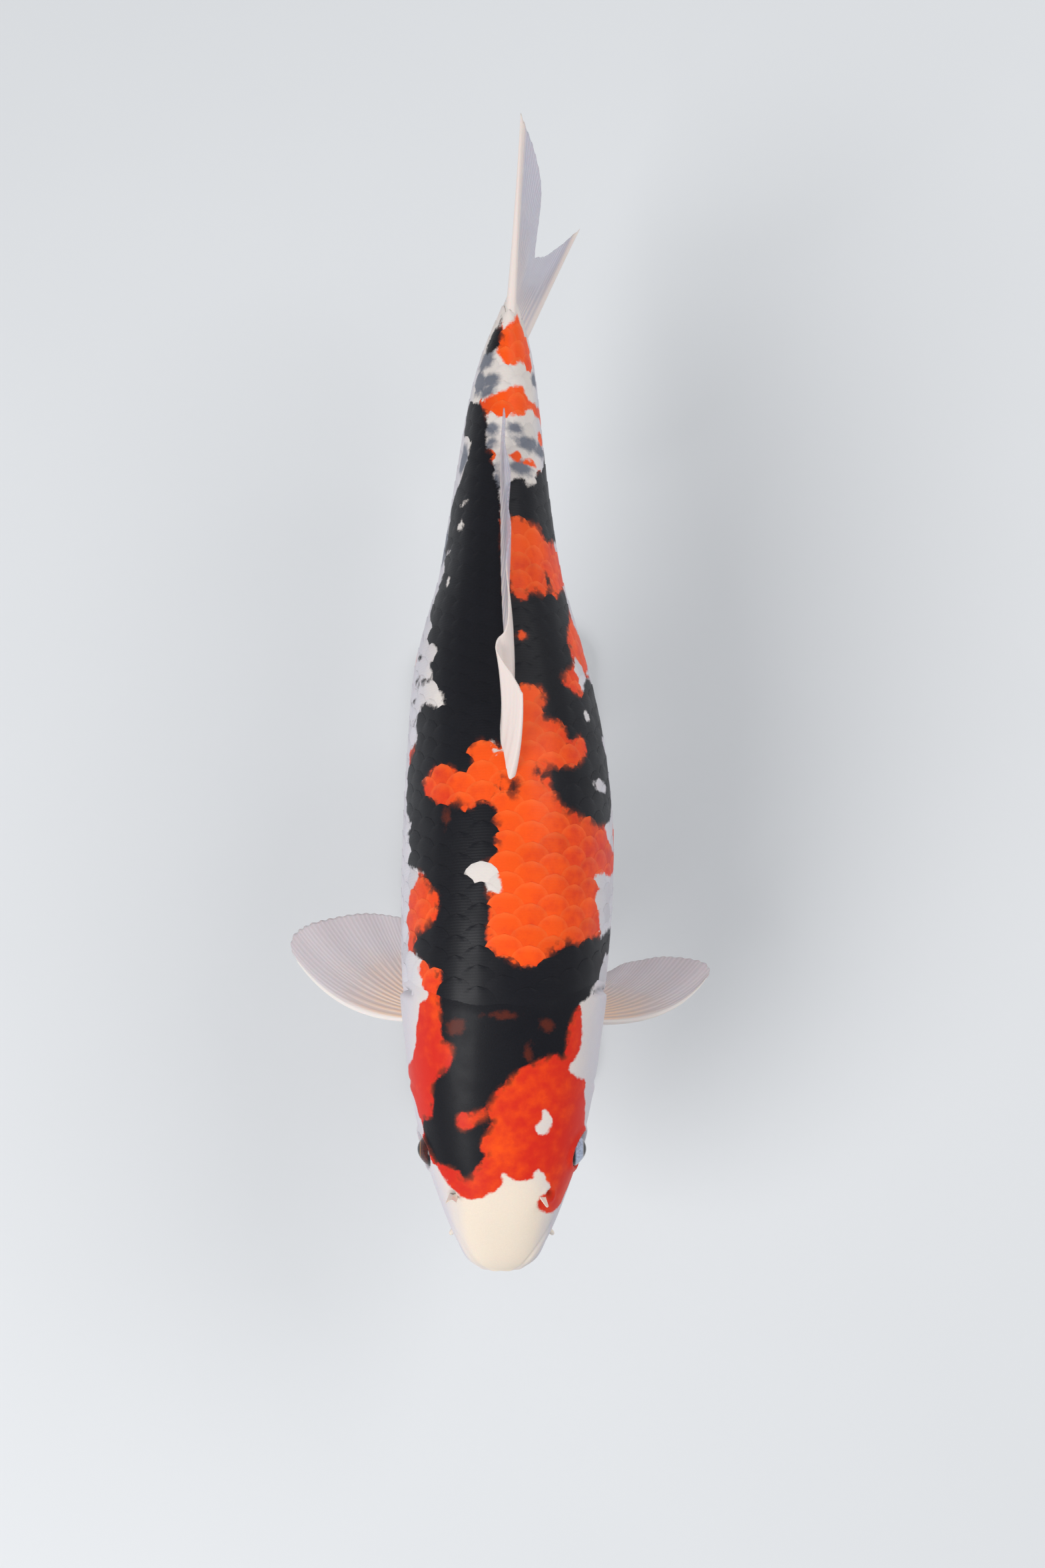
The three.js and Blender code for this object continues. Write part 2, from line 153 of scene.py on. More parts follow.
def halfGirth(along):
    return np.interp(along, tableAlong, halfGirthTable)


# The plain body's surface at a place along and around it.
def plainSkin(along, around):
    along = np.clip(np.asarray(along, float), 0.02, body["length"])
    share = np.clip(np.abs(around) / np.maximum(halfGirth(along), 1e-6), 0, 1)
    row = np.interp(along, tableAlong, np.arange(len(tableAlong)))
    column = share * (len(tableShare) - 1)
    row0 = np.minimum(row.astype(int), len(tableAlong) - 2)
    column0 = np.minimum(column.astype(int), len(tableShare) - 2)
    rowPart = row - row0
    columnPart = column - column0
    first = turnTable[row0, column0] * (1 - columnPart) + turnTable[row0, column0 + 1] * columnPart
    last = turnTable[row0 + 1, column0] * (1 - columnPart) + turnTable[row0 + 1, column0 + 1] * columnPart
    turn = first * (1 - rowPart) + last * rowPart
    return sectionPoint(along, np.where(np.asarray(around) >= 0, turn, math.pi - turn))


def skinNormal(along, around):
    step = 0.8
    ahead = plainSkin(along + step, around) - plainSkin(along - step, around)
    beside = plainSkin(along, around + step) - plainSkin(along, around - step)
    normal = np.cross(beside, ahead)
    size = np.linalg.norm(normal, axis=-1, keepdims=True)
    return normal / np.maximum(size, 1e-9)


# The smooth curve through four points in a row, between the second and the third.
def cubic(a, b, c, d, t):
    return 0.5 * (2 * b + (c - a) * t + (2 * a - 5 * b + 4 * c - d) * t**2 + (3 * b - a - 3 * c + d) * t**3)


def bump(value, width):
    return np.exp(-((value / width) ** 2))


def ramp(value, low, high):
    t = np.clip((value - low) / (high - low), 0, 1)
    return t * t * (3 - 2 * t)


relief = {
    "lip": 1.1,
    "mouthDepth": 2.4,
    "mouthEnd": (20, 27),
    "snoutFold": 0.6,
    "nostrilDepth": 1.6,
    "nostril": (27.5, 40.5),
    "orbit": 1.3,
    "orbitSide": (26, 34),
    "gillPlate": 0.8,
    "gillGroove": 2.2,
    "gillCentre": (46, 6),
    "gillRadius": 101,
    "gillTop": (28, 38),
    "cheekGroove": 0.7,
    "throatGroove": 0.8,
    "finSheath": 1.2,
    "sheathFront": (246, 262),
    "sheathRear": (425, 440),
}


def mouthLine(along):
    return -14.6 - 0.1 * along - 0.0145 * along**2


def gillEdge(point):
    centreAlong, centreUp = relief["gillCentre"]
    return np.hypot(point[..., 1] - centreAlong, point[..., 2] - centreUp) - relief["gillRadius"]


# How deep in a crease the skin lies, 0 to 1; the skin's colour is darkened by it as painted shade in the
# creases.
def creaseAt(along, around, point):
    side = np.abs(around)
    up = point[..., 2]
    nearMouth = 1 - ramp(along, *relief["mouthEnd"])
    found = nearMouth * bump(up - mouthLine(along), 1.1)
    nostrilSide, nostrilAlong = relief["nostril"]
    found = found + 0.8 * bump(np.hypot(side - nostrilSide, along - nostrilAlong), 2.2)
    edge = gillEdge(point)
    found = found + 0.8 * (1 - ramp(up, *relief["gillTop"])) * bump(edge - 1.8, 1.3)
    orbit = np.hypot(along - eye["along"], up - eye["up"])
    found = found + 0.7 * ramp(np.abs(point[..., 0]), *relief["orbitSide"]) * (1 - ramp(orbit, 8.6, 10.6))
    return np.clip(found, 0, 1)


# How far the skin stands out from the plain body.
def skinRelief(along, around, point):
    side = np.abs(around)
    up = point[..., 2]
    out = np.zeros(along.shape)
    mouth = up - mouthLine(along)
    nearMouth = 1 - ramp(along, *relief["mouthEnd"])
    out += relief["lip"] * nearMouth * (bump(mouth - 2.7, 2) + bump(mouth + 2.9, 2.1))
    out -= relief["mouthDepth"] * nearMouth * bump(mouth, 0.85)
    fold = (along - 1.07 * side + 10.5) / 1.46
    nearFold = ramp(side, 9, 16) * (1 - ramp(side, 33, 40))
    out += relief["snoutFold"] * nearFold * (0.8 * bump(fold + 2.6, 1.9) - bump(fold, 0.9))
    nostrilSide, nostrilAlong = relief["nostril"]
    nostril = np.hypot(side - nostrilSide, along - nostrilAlong)
    out += 0.6 * bump(nostril - 3.4, 1.1) - relief["nostrilDepth"] * bump(nostril, 2.1)
    orbit = np.hypot(along - eye["along"], up - eye["up"])
    onSide = ramp(np.abs(point[..., 0]), *relief["orbitSide"])
    out += onSide * (relief["orbit"] * bump(orbit - 10.6, 1.5) + 0.7 * bump(orbit, 17))
    out -= onSide * 4 * (1 - ramp(orbit, 7.6, 9.8))
    edge = gillEdge(point)
    belowTop = 1 - ramp(up, *relief["gillTop"])
    plate = ramp(edge, -26, -3) * (1 - ramp(edge, -0.6, 0.7))
    out += relief["gillPlate"] * belowTop * plate
    out -= relief["gillGroove"] * belowTop * bump(edge - 1.6, 1.5)
    cheek = edge + 47 + 0.12 * up
    behindEye = (1 - ramp(up, 12, 26)) * ramp(up, -52, -38)
    out -= relief["cheekGroove"] * behindEye * bump(cheek, 1.6)
    out += 0.35 * behindEye * bump(cheek + 4, 3)
    throat = bump(side - halfGirth(along), 5) * ramp(along, 30, 45) * (1 - ramp(along, 100, 118))
    out -= relief["throatGroove"] * throat
    dorsal = bump(around, 5) * ramp(along, *relief["sheathFront"]) * (1 - ramp(along, *relief["sheathRear"]))
    out += relief["finSheath"] * dorsal
    return out


def skinPoint(along, around, lift=0):
    plain = plainSkin(along, around)
    height = skinRelief(np.asarray(along, float), np.asarray(around, float), plain) + lift
    return plain + skinNormal(along, around) * height[..., None]


# Outlines are (around, along) pairs, and ovals are (around, along, half width, half length).
sumi = {
    "rightBack": [
        (1, 380), (1, 400), (0, 412), (-2, 424), (-4, 436), (-9, 440), (-9, 456), (-13, 470),
        (-22, 472), (-31, 476), (-37, 464),
        (-29, 453), (-21, 448), (-24, 438), (-33, 425), (-45, 418), (-47, 400), (-50, 386),
        (-44, 374), (-54, 364), (-58, 352), (-50, 343), (-54, 336), (-42, 327), (-48, 320),
        (-43, 309), (-35, 297), (-42, 293), (-58, 299), (-66, 288), (-64, 280), (-80, 268),
        (-84, 254), (-58, 256), (-44, 263), (-31, 262), (-25, 257), (-19, 260), (-20, 269),
        (-13, 275), (-5, 268), (1, 280), (2, 360),
    ],
    "rightFlank": [
        (-84, 262), (-57, 257), (-51, 246), (-40, 242), (-28, 241), (-21, 236), (-12, 240),
        (-6, 235), (-4, 224), (-6, 214), (-13, 210), (-21, 206), (-18, 200), (-11, 198), (-9, 188),
        (-10, 170), (-3, 161), (-30, 154), (-46, 160), (-60, 168), (-59, 175), (-44, 179),
        (-39, 187), (-41, 196), (-49, 200), (-53, 207), (-66, 212), (-79, 214), (-69, 222),
        (-80, 229), (-69, 235), (-82, 243),
    ],
    "saddle": [
        (-34, 162), (-4, 162), (4, 157), (15, 155), (23, 161), (28, 166), (38, 170), (46, 168),
        (54, 173), (68, 174), (80, 178), (96, 182), (106, 174), (92, 168), (79, 166), (72, 158),
        (58, 146), (43, 136), (37, 127), (34, 112), (26, 112), (9, 104), (0, 97), (-10, 92),
        (-30, 100), (-27, 108), (-25, 116), (-33, 121), (-33, 134), (-35, 141),
    ],
    "crown": [
        (4, 102), (-3, 93), (-8, 85), (-5, 78), (-9, 71), (-11, 65), (-8, 61), (-13, 54),
        (-19, 49), (-26, 54), (-38, 57), (-43, 64), (-50, 73), (-50, 79), (-40, 81), (-38, 97),
        (-30, 104), (-14, 112),
    ],
    "leftBack": [
        (1, 400), (3, 419), (13, 425), (18, 420), (26, 425), (31, 433), (38, 436), (44, 449),
        (52, 446), (56, 420), (60, 398), (45, 394), (41, 390), (30, 394), (27, 399),
    ],
    "leftFlank": [
        (3, 366), (9, 354), (13, 352), (19, 357), (28, 356), (33, 362), (39, 355), (46, 362),
        (56, 366), (58, 354), (50, 345), (46, 334), (49, 319), (39, 314), (36, 309), (44, 305),
        (55, 303), (62, 313), (72, 316), (92, 310), (98, 286), (94, 250), (80, 238), (60, 233),
        (51, 235), (38, 237), (29, 241), (25, 250), (24, 260), (34, 259), (45, 262), (52, 269),
        (48, 281), (42, 277), (37, 275), (35, 284), (26, 285), (19, 287), (24, 295), (22, 304),
        (8, 301), (2, 296),
    ],
    "tail": [(-3, 511), (-9, 513), (-15, 508), (-18, 503), (-12, 500), (-4, 501)],
}
sumiSpots = [
    (-2.8, 248, 2.1, 3.4), (3.4, 248.6, 1.8, 3), (17, 256, 1.4, 2.2), (21, 255.5, 1.2, 2.4),
    (-64, 327, 5, 1.6), (-67, 315, 5, 1.6), (-56, 311, 8, 1.5), (-74, 303, 5, 1.5),
    (-75, 291, 5, 1.4), (32, 366, 2, 3), (-5, 517, 1.5, 2.5), (-110, 292, 9, 22),
    (-126, 236, 13, 9), (112, 330, 12, 16), (118, 262, 10, 24), (-96, 372, 8, 20), (92, 402, 9, 13),
    (120, 186, 9, 12), (-78, 430, 9, 16),
]
hi = {
    "crown": [
        (-46, 80), (-46, 66), (-38, 54), (-30, 46), (-18, 38), (-8, 40), (0, 45), (1, 51), (8, 48),
        (15, 48), (20, 53), (25, 49), (27, 44), (21, 39), (19, 34), (27, 31), (38, 33), (47, 41),
        (56, 52), (60, 66), (55, 86), (52, 94), (53, 99), (43, 102), (37, 105), (44, 113),
        (48, 122), (47, 131), (44, 137), (20, 130), (0, 112), (-20, 92),
    ],
    "rightCheek": [
        (-53, 79), (-63, 92), (-80, 99), (-74, 107), (-62, 110), (-55, 117), (-53, 129), (-50, 139),
        (-44, 142), (-47, 149), (-54, 157), (-44, 163), (-30, 160), (-26, 140), (-27, 121),
        (-21, 112), (-26, 104), (-33, 98), (-34, 80),
    ],
    "rightFlank": [
        (-62, 165), (-71, 170), (-67, 176), (-76, 182), (-71, 190), (-66, 201), (-57, 206),
        (-47, 203), (-34, 198), (-33, 178), (-52, 172),
    ],
    "shoulder": [
        (-14, 160), (-14, 188), (-2, 196), (-5, 206), (-10, 214), (-10, 240), (0, 246), (30, 246),
        (58, 239), (74, 233), (80, 227), (92, 224), (106, 220), (96, 213), (84, 209), (68, 207),
        (57, 205), (65, 200), (61, 193), (65, 185), (66, 176), (50, 166), (30, 158), (14, 150),
    ],
    "rightLoin": [
        (-8, 236), (-26, 237), (-38, 239), (-47, 243), (-55, 250), (-50, 258), (-44, 264),
        (-30, 266), (-24, 271), (-13, 277), (-6, 270), (2, 264), (6, 244),
    ],
    "leftLoin": [
        (0, 244), (0, 268), (5, 290), (8, 303), (16, 303), (23, 306), (27, 294), (36, 290),
        (50, 283), (53, 266), (44, 256), (28, 250), (32, 240),
    ],
    "rump": [
        (1, 362), (1, 400), (16, 400), (26, 402), (34, 395), (47, 391), (62, 386), (84, 378),
        (80, 366), (62, 371), (50, 362), (45, 352), (30, 352), (12, 350),
    ],
    "leftFlank": [
        (50, 353), (60, 350), (74, 340), (78, 324), (66, 317), (58, 323), (50, 325), (43, 329),
        (46, 341),
    ],
    "leftSpot": [(34, 310), (44, 317), (50, 316), (55, 308), (46, 302)],
    "tailBand": [
        (-12, 471), (-3, 473), (5, 478), (13, 479), (18, 474), (30, 472), (44, 475), (46, 464),
        (30, 467), (20, 466), (13, 461), (3, 460), (-4, 461), (-10, 463),
    ],
    "tailCap": [
        (-3, 513), (3, 517), (7, 523), (12, 517), (20, 508), (26, 498), (21, 491), (12, 493),
        (5, 490), (-1, 494), (-5, 501),
    ],
}
hiSpots = [
    (9, 436, 4, 3), (19, 434.5, 7, 2.4), (-4, 436, 2, 1.5), (12, 331, 3, 3), (35, 454, 6, 4),
    (-74, 272, 8, 4.5), (-88, 330, 9, 5), (104, 232, 10, 6),
]
windows = {  # bare white skin inside the black and the red
    "shoulder": [
        (-1, 194), (-5, 202), (-8, 207), (-14, 211), (-21, 207), (-20, 200), (-12, 199), (-10, 192),
    ],
    "forehead": [(23, 84), (27, 78), (25, 73), (20, 72), (18, 76), (21, 79)],
}
windowSpots = [
    (-27, 398, 3, 3.5), (-36, 367, 2, 3), (-25, 411, 4, 1.2), (-45, 386, 5, 1.4), (57, 292, 3.6, 3.6),
    (68, 255, 9, 3.8), (96, 282, 14, 5), (-5.5, 269, 1.6, 3),
]
bareSumi = {  # red inside the black
    "crownNick": [(-23, 82), (-16, 83), (-6, 85), (-7, 80), (-14, 76), (-21, 73), (-24, 77)],
}
bareSumiSpots = [(12, 331, 2.8, 2.4), (9, 436, 4, 3), (19, 434.5, 7, 2.4)]
ghostSpots = [(-25, 126, 6, 4), (0, 132, 6, 1.5), (24, 127, 4, 3), (14, 113, 2, 3.6), (-35, 234, 2.5, 6)]
shadeSpots = [
    (8, 453, 7, 4), (19, 446, 12, 5), (34, 446, 10, 5), (-6, 452, 6, 4), (-6, 443, 5, 4),
    (-8, 482, 7, 5), (-10, 475, 6, 4), (-18, 482, 7, 8), (-14, 496, 9, 6), (13, 430, 10, 5),
    (-2, 420, 3.4, 12), (-30, 440, 6, 10), (28, 488, 6, 5),
    (-80, 400, 20, 26), (74, 430, 20, 22),
]
markFade = 9  # distances from a mark's edge are kept within this


def smoothOutline(points, steps=3):
    points = np.array(points, float)
    before, after, later = np.roll(points, 1, 0), np.roll(points, -1, 0), np.roll(points, -2, 0)
    pieces = [cubic(before, points, after, later, step / steps) for step in range(steps)]
    return np.stack(pieces, 1).reshape(-1, 2)


# The distance inside an outline, less than 0 outside it.
def insideOutline(around, along, outline):
    found = np.full(around.shape, -float(markFade))
    low, high = outline.min(0) - markFade, outline.max(0) + markFade
    near = (around > low[0]) & (around < high[0]) & (along > low[1]) & (along < high[1])
    x, y = around[near], along[near]
    nearest = np.full(x.shape, 1e9)
    inside = np.zeros(x.shape, bool)
    for (ax, ay), (bx, by) in zip(outline, np.roll(outline, -1, 0)):
        dx, dy = bx - ax, by - ay
        t = np.clip(((x - ax) * dx + (y - ay) * dy) / (dx * dx + dy * dy + 1e-9), 0, 1)
        nearest = np.minimum(nearest, np.hypot(x - ax - dx * t, y - ay - dy * t))
        crosses = (ay > y) != (by > y)
        inside ^= crosses & (x < dx * (y - ay) / (by - ay + 1e-12) + ax)
    found[near] = np.clip(np.where(inside, nearest, -nearest), -markFade, markFade)
    return found


# The larger an oval is, the more its rim runs in and out in lobes.
def insideOval(around, along, oval):
    midAround, midAlong, halfAround, halfAlong = oval
    x = (around - midAround) / halfAround
    y = (along - midAlong) / halfAlong
    small = min(halfAround, halfAlong)
    turn = np.arctan2(y, x) + midAlong
    lobes = 0.24 * np.sin(2 * turn) + 0.2 * np.sin(3 * turn + midAround) + 0.12 * np.sin(7 * turn)
    reach = np.hypot(x, y) / (1 + min(small / 8, 1.3) ** 2 * lobes)
    return np.clip((1 - reach) * small, -markFade, markFade)


# The distance inside some marks at (around, along). A scale takes all but the small marks partly
# from its own middle, so that their edges step from scale to scale.
def joined(spot, middle, outlines, ovals):
    found = np.full(spot[0].shape, -float(markFade))
    marks = [(insideOutline, smoothOutline(outline), True) for outline in outlines.values()]
    marks += [(insideOval, oval, min(oval[2:]) > 6) for oval in ovals]
    for measure, mark, large in marks:
        inside = measure(*spot, mark)
        if middle and large:
            inside = 0.7 * inside + 0.3 * measure(*middle, mark)
        found = np.maximum(found, inside)
    return found


def markings(spot, middle=None):
    bare = joined(spot, middle, windows, windowSpots)
    nick = joined(spot, middle, bareSumi, bareSumiSpots)
    return {
        "hi": np.minimum(joined(spot, middle, hi, hiSpots), -bare),
        "sumi": np.minimum(joined(spot, middle, sumi, sumiSpots), -np.maximum(bare, nick)),
        "ghost": joined(spot, middle, {}, ghostSpots),
        "shade": joined(spot, middle, {}, shadeSpots),
    }


def deselectAll():
    if bpy.context.object and bpy.context.object.mode != "OBJECT":
        bpy.ops.object.mode_set(mode="OBJECT")
    bpy.ops.object.select_all(action="DESELECT")


def newPiece(name):
    piece = bpy.context.object
    piece.name = name
    piece.data.name = name
    return piece


def readPoints(piece):
    points = np.empty(len(piece.data.vertices) * 3)
    piece.data.vertices.foreach_get("co", points)
    return points.reshape(-1, 3)


def placePoints(piece, points):
    piece.data.vertices.foreach_set("co", (snout + points * mm).ravel())
    piece.data.update()


def setValues(piece, name, values):
    layer = piece.data.attributes.new(name, "FLOAT", "POINT")
    layer.data.foreach_set("value", np.asarray(values, np.float32))


def setCornerMap(piece, name, values):
    layer = piece.data.uv_layers.new(name=name)
    corners = np.empty(len(piece.data.loops), int)
    piece.data.loops.foreach_get("vertex_index", corners)
    layer.data.foreach_set("uv", np.asarray(values, np.float32)[corners].ravel())


def selectOnly(piece):
    deselectAll()
    bpy.context.view_layer.objects.active = piece
    piece.select_set(True)


def faceOutward(piece):
    selectOnly(piece)
    bpy.ops.object.mode_set(mode="EDIT")
    bpy.ops.mesh.select_all(action="SELECT")
    bpy.ops.mesh.normals_make_consistent(inside=False)
    bpy.ops.object.mode_set(mode="OBJECT")
    bpy.ops.object.shade_smooth()


def finishPiece(piece, material, nodes):
    piece.data.materials.clear()
    piece.data.materials.append(material)
    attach(piece, "root")
    if nodes:
        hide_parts(*nodes)


def addNode(tree, kind, values=None, **settings):
    node = tree.nodes.new(kind)
    for key, value in settings.items():
        setattr(node, key, value)
    for key, value in (values or {}).items():
        if isinstance(value, bpy.types.NodeSocket):
            tree.links.new(value, node.inputs[key])
        else:
            node.inputs[key].default_value = value
    return node


def maths(tree, operation, *values):
    node = addNode(tree, "ShaderNodeMath", dict(enumerate(values)), operation=operation)
    return node.outputs[0]


def blend(tree, share, first, last, mode="MIX"):
    node = addNode(tree, "ShaderNodeMix", data_type="RGBA", blend_type=mode)
    for index, value in zip((0, 6, 7), (share, first, last)):
        if isinstance(value, bpy.types.NodeSocket):
            tree.links.new(value, node.inputs[index])
        else:
            node.inputs[index].default_value = value
    return node.outputs[2]


def rescale(tree, value, fromLow, fromHigh, toLow=0.0, toHigh=1.0, smooth=True):
    kind = "SMOOTHSTEP" if smooth else "LINEAR"
    values = {"From Min": fromLow, "From Max": fromHigh, "To Min": toLow, "To Max": toHigh, "Value": value}
    return addNode(tree, "ShaderNodeMapRange", values, interpolation_type=kind).outputs["Result"]


def noiseAt(tree, place, size, detail=2.0, roughness=0.5):
    values = {"Vector": place, "Scale": 1 / (size * mm), "Detail": detail, "Roughness": roughness}
    return addNode(tree, "ShaderNodeTexNoise", values).outputs["Fac"]


def raiseBy(tree, shader, height, strength, distance):
    values = {"Height": height, "Strength": strength, "Distance": distance}
    raised = addNode(tree, "ShaderNodeBump", values)
    tree.links.new(raised.outputs[0], shader.inputs["Normal"])


def newGroup(name, inputs, outputs):
    tree = bpy.data.node_groups.new(name, "ShaderNodeTree")
    for socket, kind in inputs.items():
        tree.interface.new_socket(socket, in_out="INPUT", socket_type=kind)
    for socket, kind in outputs.items():
        tree.interface.new_socket(socket, in_out="OUTPUT", socket_type=kind)
    return tree, addNode(tree, "NodeGroupInput"), addNode(tree, "NodeGroupOutput")


def newMaterial(name, **plain):
    material = bpy.data.materials.new(name)
    material.use_nodes = True
    tree = material.node_tree
    shader = tree.nodes["Principled BSDF"]
    for socket, value in plain.items():
        shader.inputs[socket.replace("_", " ")].default_value = value
    return material, tree, shader


def objectPlace(tree):
    return addNode(tree, "ShaderNodeTexCoord").outputs["Object"]


def attributeOf(tree, name):
    return addNode(tree, "ShaderNodeAttribute", attribute_name=name).outputs["Fac"]


palette = {
    "white": (0.73, 0.65, 0.60, 1),
    # painted bluish shade on the flanks' white
    "coolWhite": (0.60, 0.565, 0.605, 1),
    "snout": (0.83, 0.71, 0.58, 1),
    "orange": (0.95, 0.090, 0.005, 1),
    "red": (0.66, 0.021, 0.009, 1),
    "sumi": (0.004, 0.004, 0.006, 1),
    "sumiLight": (0.009, 0.009, 0.013, 1),
    "ghost": (0.11, 0.018, 0.009, 1),
    "shade": (0.12, 0.135, 0.175, 1),
    "whiteEdge": (0.45, 0.41, 0.44, 1),
    "redEdge": (1.0, 0.25, 0.06, 1),
}


markSockets = ("Hi", "Sumi", "Ghost", "Shade", "Warmth", "Cool", "Edge", "Tone")


# White, red, black and grey skin from the distances to the marks' edges.
def makeMarkGroup():
    sockets = dict.fromkeys(markSockets, "NodeSocketFloat")
    tree, given, out = newGroup("koiMarkings", sockets, {"Color": "NodeSocketColor"})
    place = objectPlace(tree)
    broad = noiseAt(tree, place, 26, 3)
    wide = noiseAt(tree, place, 6, 3)
    lacy = noiseAt(tree, place, 2.6, 2)
    fine = noiseAt(tree, place, 0.8, 2)
    drift = maths(tree, "MULTIPLY_ADD", wide, 4.2, -2.1)
    drift = maths(tree, "ADD", drift, maths(tree, "MULTIPLY_ADD", lacy, 2.0, -1.0))
    drift = maths(tree, "ADD", drift, maths(tree, "MULTIPLY_ADD", fine, 0.9, -0.45))
    hiAt = maths(tree, "ADD", given.outputs["Hi"], drift)
    sumiAt = maths(tree, "ADD", given.outputs["Sumi"], drift)
    shadeAt = maths(tree, "ADD", given.outputs["Shade"], drift)
    ghostAt = maths(tree, "ADD", given.outputs["Ghost"], maths(tree, "MULTIPLY", drift, 1.3))
    # the red runs under the black's rim
    hiAt = maths(tree, "ADD", hiAt, rescale(tree, sumiAt, -2.6, -0.6, 0, 2.4))
    hiMask = rescale(tree, hiAt, -0.8, 0.8)
    sumiMask = rescale(tree, sumiAt, -0.9, 0.8)
    shadeMask = rescale(tree, shadeAt, -1.4, 2.4, 0, 0.92)
    # rusty patches inside the black, and in places along its rim
    rusty = rescale(tree, wide, 0.42, 0.58)
    rustyRim = maths(tree, "MULTIPLY", rescale(tree, sumiAt, 0.2, 2.2, 1, 0), rusty)
    rustyRim = maths(tree, "MULTIPLY", rustyRim, rescale(tree, hiAt, -3.0, 0.0))
    ghostMask = maths(tree, "MAXIMUM", rescale(tree, ghostAt, -1.4, 1.6, 0, 0.85), rustyRim)
    warm = maths(tree, "ADD", given.outputs["Warmth"], maths(tree, "MULTIPLY_ADD", broad, 0.9, -0.45))
    # the flanks' white turns a darker lavender grey as painted bluish shade; the snout's cream is its own
    # colour
    cool = maths(tree, "ADD", given.outputs["Cool"], maths(tree, "MULTIPLY_ADD", broad, 0.6, -0.3))
    white = blend(tree, rescale(tree, cool, 0.0, 1.0), palette["white"], palette["coolWhite"])
    white = blend(tree, rescale(tree, cool, 0.0, -1.0), white, palette["snout"])
    white = blend(tree, maths(tree, "MULTIPLY", given.outputs["Edge"], 0.14), white, palette["whiteEdge"])
    mottled = maths(tree, "ADD", warm, maths(tree, "MULTIPLY_ADD", wide, 1.0, -0.5))
    red = blend(tree, rescale(tree, mottled, 0.0, 1.0), palette["red"], palette["orange"])
    red = blend(tree, maths(tree, "MULTIPLY", given.outputs["Edge"], 0.25), red, palette["redEdge"])
    singed = maths(tree, "MULTIPLY", rescale(tree, sumiAt, -3.2, -0.4, 0, 0.75), rusty)
    red = blend(tree, singed, red, palette["ghost"])
    black = blend(tree, fine, palette["sumi"], palette["sumiLight"])
    black = blend(tree, ghostMask, black, palette["ghost"])
    color = blend(tree, shadeMask, white, palette["shade"])
    color = blend(tree, hiMask, color, red)
    color = blend(tree, sumiMask, color, black)
    # the tone darkens the colour: painted shade in the skin's creases, and on the scales a tone that differs
    # at random
    tone = maths(tree, "MULTIPLY_ADD", given.outputs["Tone"], 0.22, 0.89)
    tone = maths(tree, "MULTIPLY", tone, maths(tree, "MULTIPLY_ADD", fine, 0.10, 0.95))
    tint = addNode(tree, "ShaderNodeHueSaturation", {"Value": tone, "Color": color})
    tree.links.new(tint.outputs["Color"], out.inputs["Color"])
    return tree


markGroup = makeMarkGroup()


def markColour(tree):
    node = addNode(tree, "ShaderNodeGroup", node_tree=markGroup)
    for socket in markSockets:
        tree.links.new(attributeOf(tree, socket.lower()), node.inputs[socket])
    return node.outputs["Color"]


def makeSkinMaterial():
    material, tree, shader = newMaterial(
        "koiSkin", IOR=1.4, Specular_IOR_Level=0.2, Coat_Weight=0.04, Coat_Roughness=0.2,
        Subsurface_Weight=0.12, Subsurface_Scale=0.004,
    )
    tree.links.new(markColour(tree), shader.inputs["Base Color"])
    place = objectPlace(tree)
    fine = noiseAt(tree, place, 0.9, 3)
    rough = rescale(tree, noiseAt(tree, place, 9, 2), 0.2, 0.8, 0.4, 0.56, False)
    tree.links.new(rough, shader.inputs["Roughness"])
    cells = {"Vector": place, "Scale": 1 / (2.6 * mm)}
    pores = addNode(tree, "ShaderNodeTexVoronoi", cells).outputs["Distance"]
    height = maths(tree, "ADD", maths(tree, "MULTIPLY", fine, 0.5), rescale(tree, pores, 0.0, 0.22, 0, 0.6))
    raiseBy(tree, shader, height, 0.16, 0.0006)
    return material


def makeScaleMaterial():
    material, tree, shader = newMaterial(
        "koiScales", IOR=1.45, Specular_IOR_Level=0.2, Coat_Weight=0.04, Coat_Roughness=0.2,
        Subsurface_Weight=0.05, Subsurface_Scale=0.003,
    )
    tree.links.new(markColour(tree), shader.inputs["Base Color"])
    lines = addNode(tree, "ShaderNodeUVMap", uv_map="growth")
    wave = addNode(
        tree, "ShaderNodeTexWave",
        {"Vector": lines.outputs[0], "Scale": 1.0, "Distortion": 2.0, "Detail": 1.0},
        wave_type="BANDS", bands_direction="X",
    )
    place = objectPlace(tree)
    fine = noiseAt(tree, place, 0.8, 2)
    height = maths(tree, "MULTIPLY", maths(tree, "ADD", wave.outputs["Fac"], fine), 0.5)
    raiseBy(tree, shader, height, 0.12, 0.0004)
    rough = rescale(tree, noiseAt(tree, place, 14, 2), 0.2, 0.8, 0.38, 0.54, False)
    tree.links.new(rough, shader.inputs["Roughness"])
    return material


print("stage: materials")
skinMaterial = makeSkinMaterial()
scaleMaterial = makeScaleMaterial()


skin = {
    "sides": 240,
    "rings": 300,
    "under": 0.9,  # how deep it lies under the scales
    "nodes": [
        "head", "lower_jaw", "gill_cover_left", "gill_cover_right", "trunk_front", "trunk_rear", "tail_stem",
    ],
}


def warmthAt(around, along):
    crown = 1 - ramp(along, 110, 175)
    return np.clip(0.95 - 0.5 * crown - 0.0075 * np.abs(around), 0, 1)


# How the white leans: -1 to the snout's own cream, 1 to a painted bluish shade on the flanks.
def coolAt(around, along):
    side = np.abs(around)
    snoutShare = (1 - ramp(along, 30, 70)) * (1 - ramp(side, 14, 36))
    return ramp(side, 0.12 * halfGirth(along) + 4, 0.4 * halfGirth(along) + 4) - snoutShare


def setMarks(piece, around, along, edge, tone, middle=None):
    found = markings((around, along), middle)
    found["warmth"] = warmthAt(around, along)
    found["cool"] = coolAt(around, along)
    found["edge"] = edge
    found["tone"] = tone
    for name, values in found.items():
        setValues(piece, name, values)


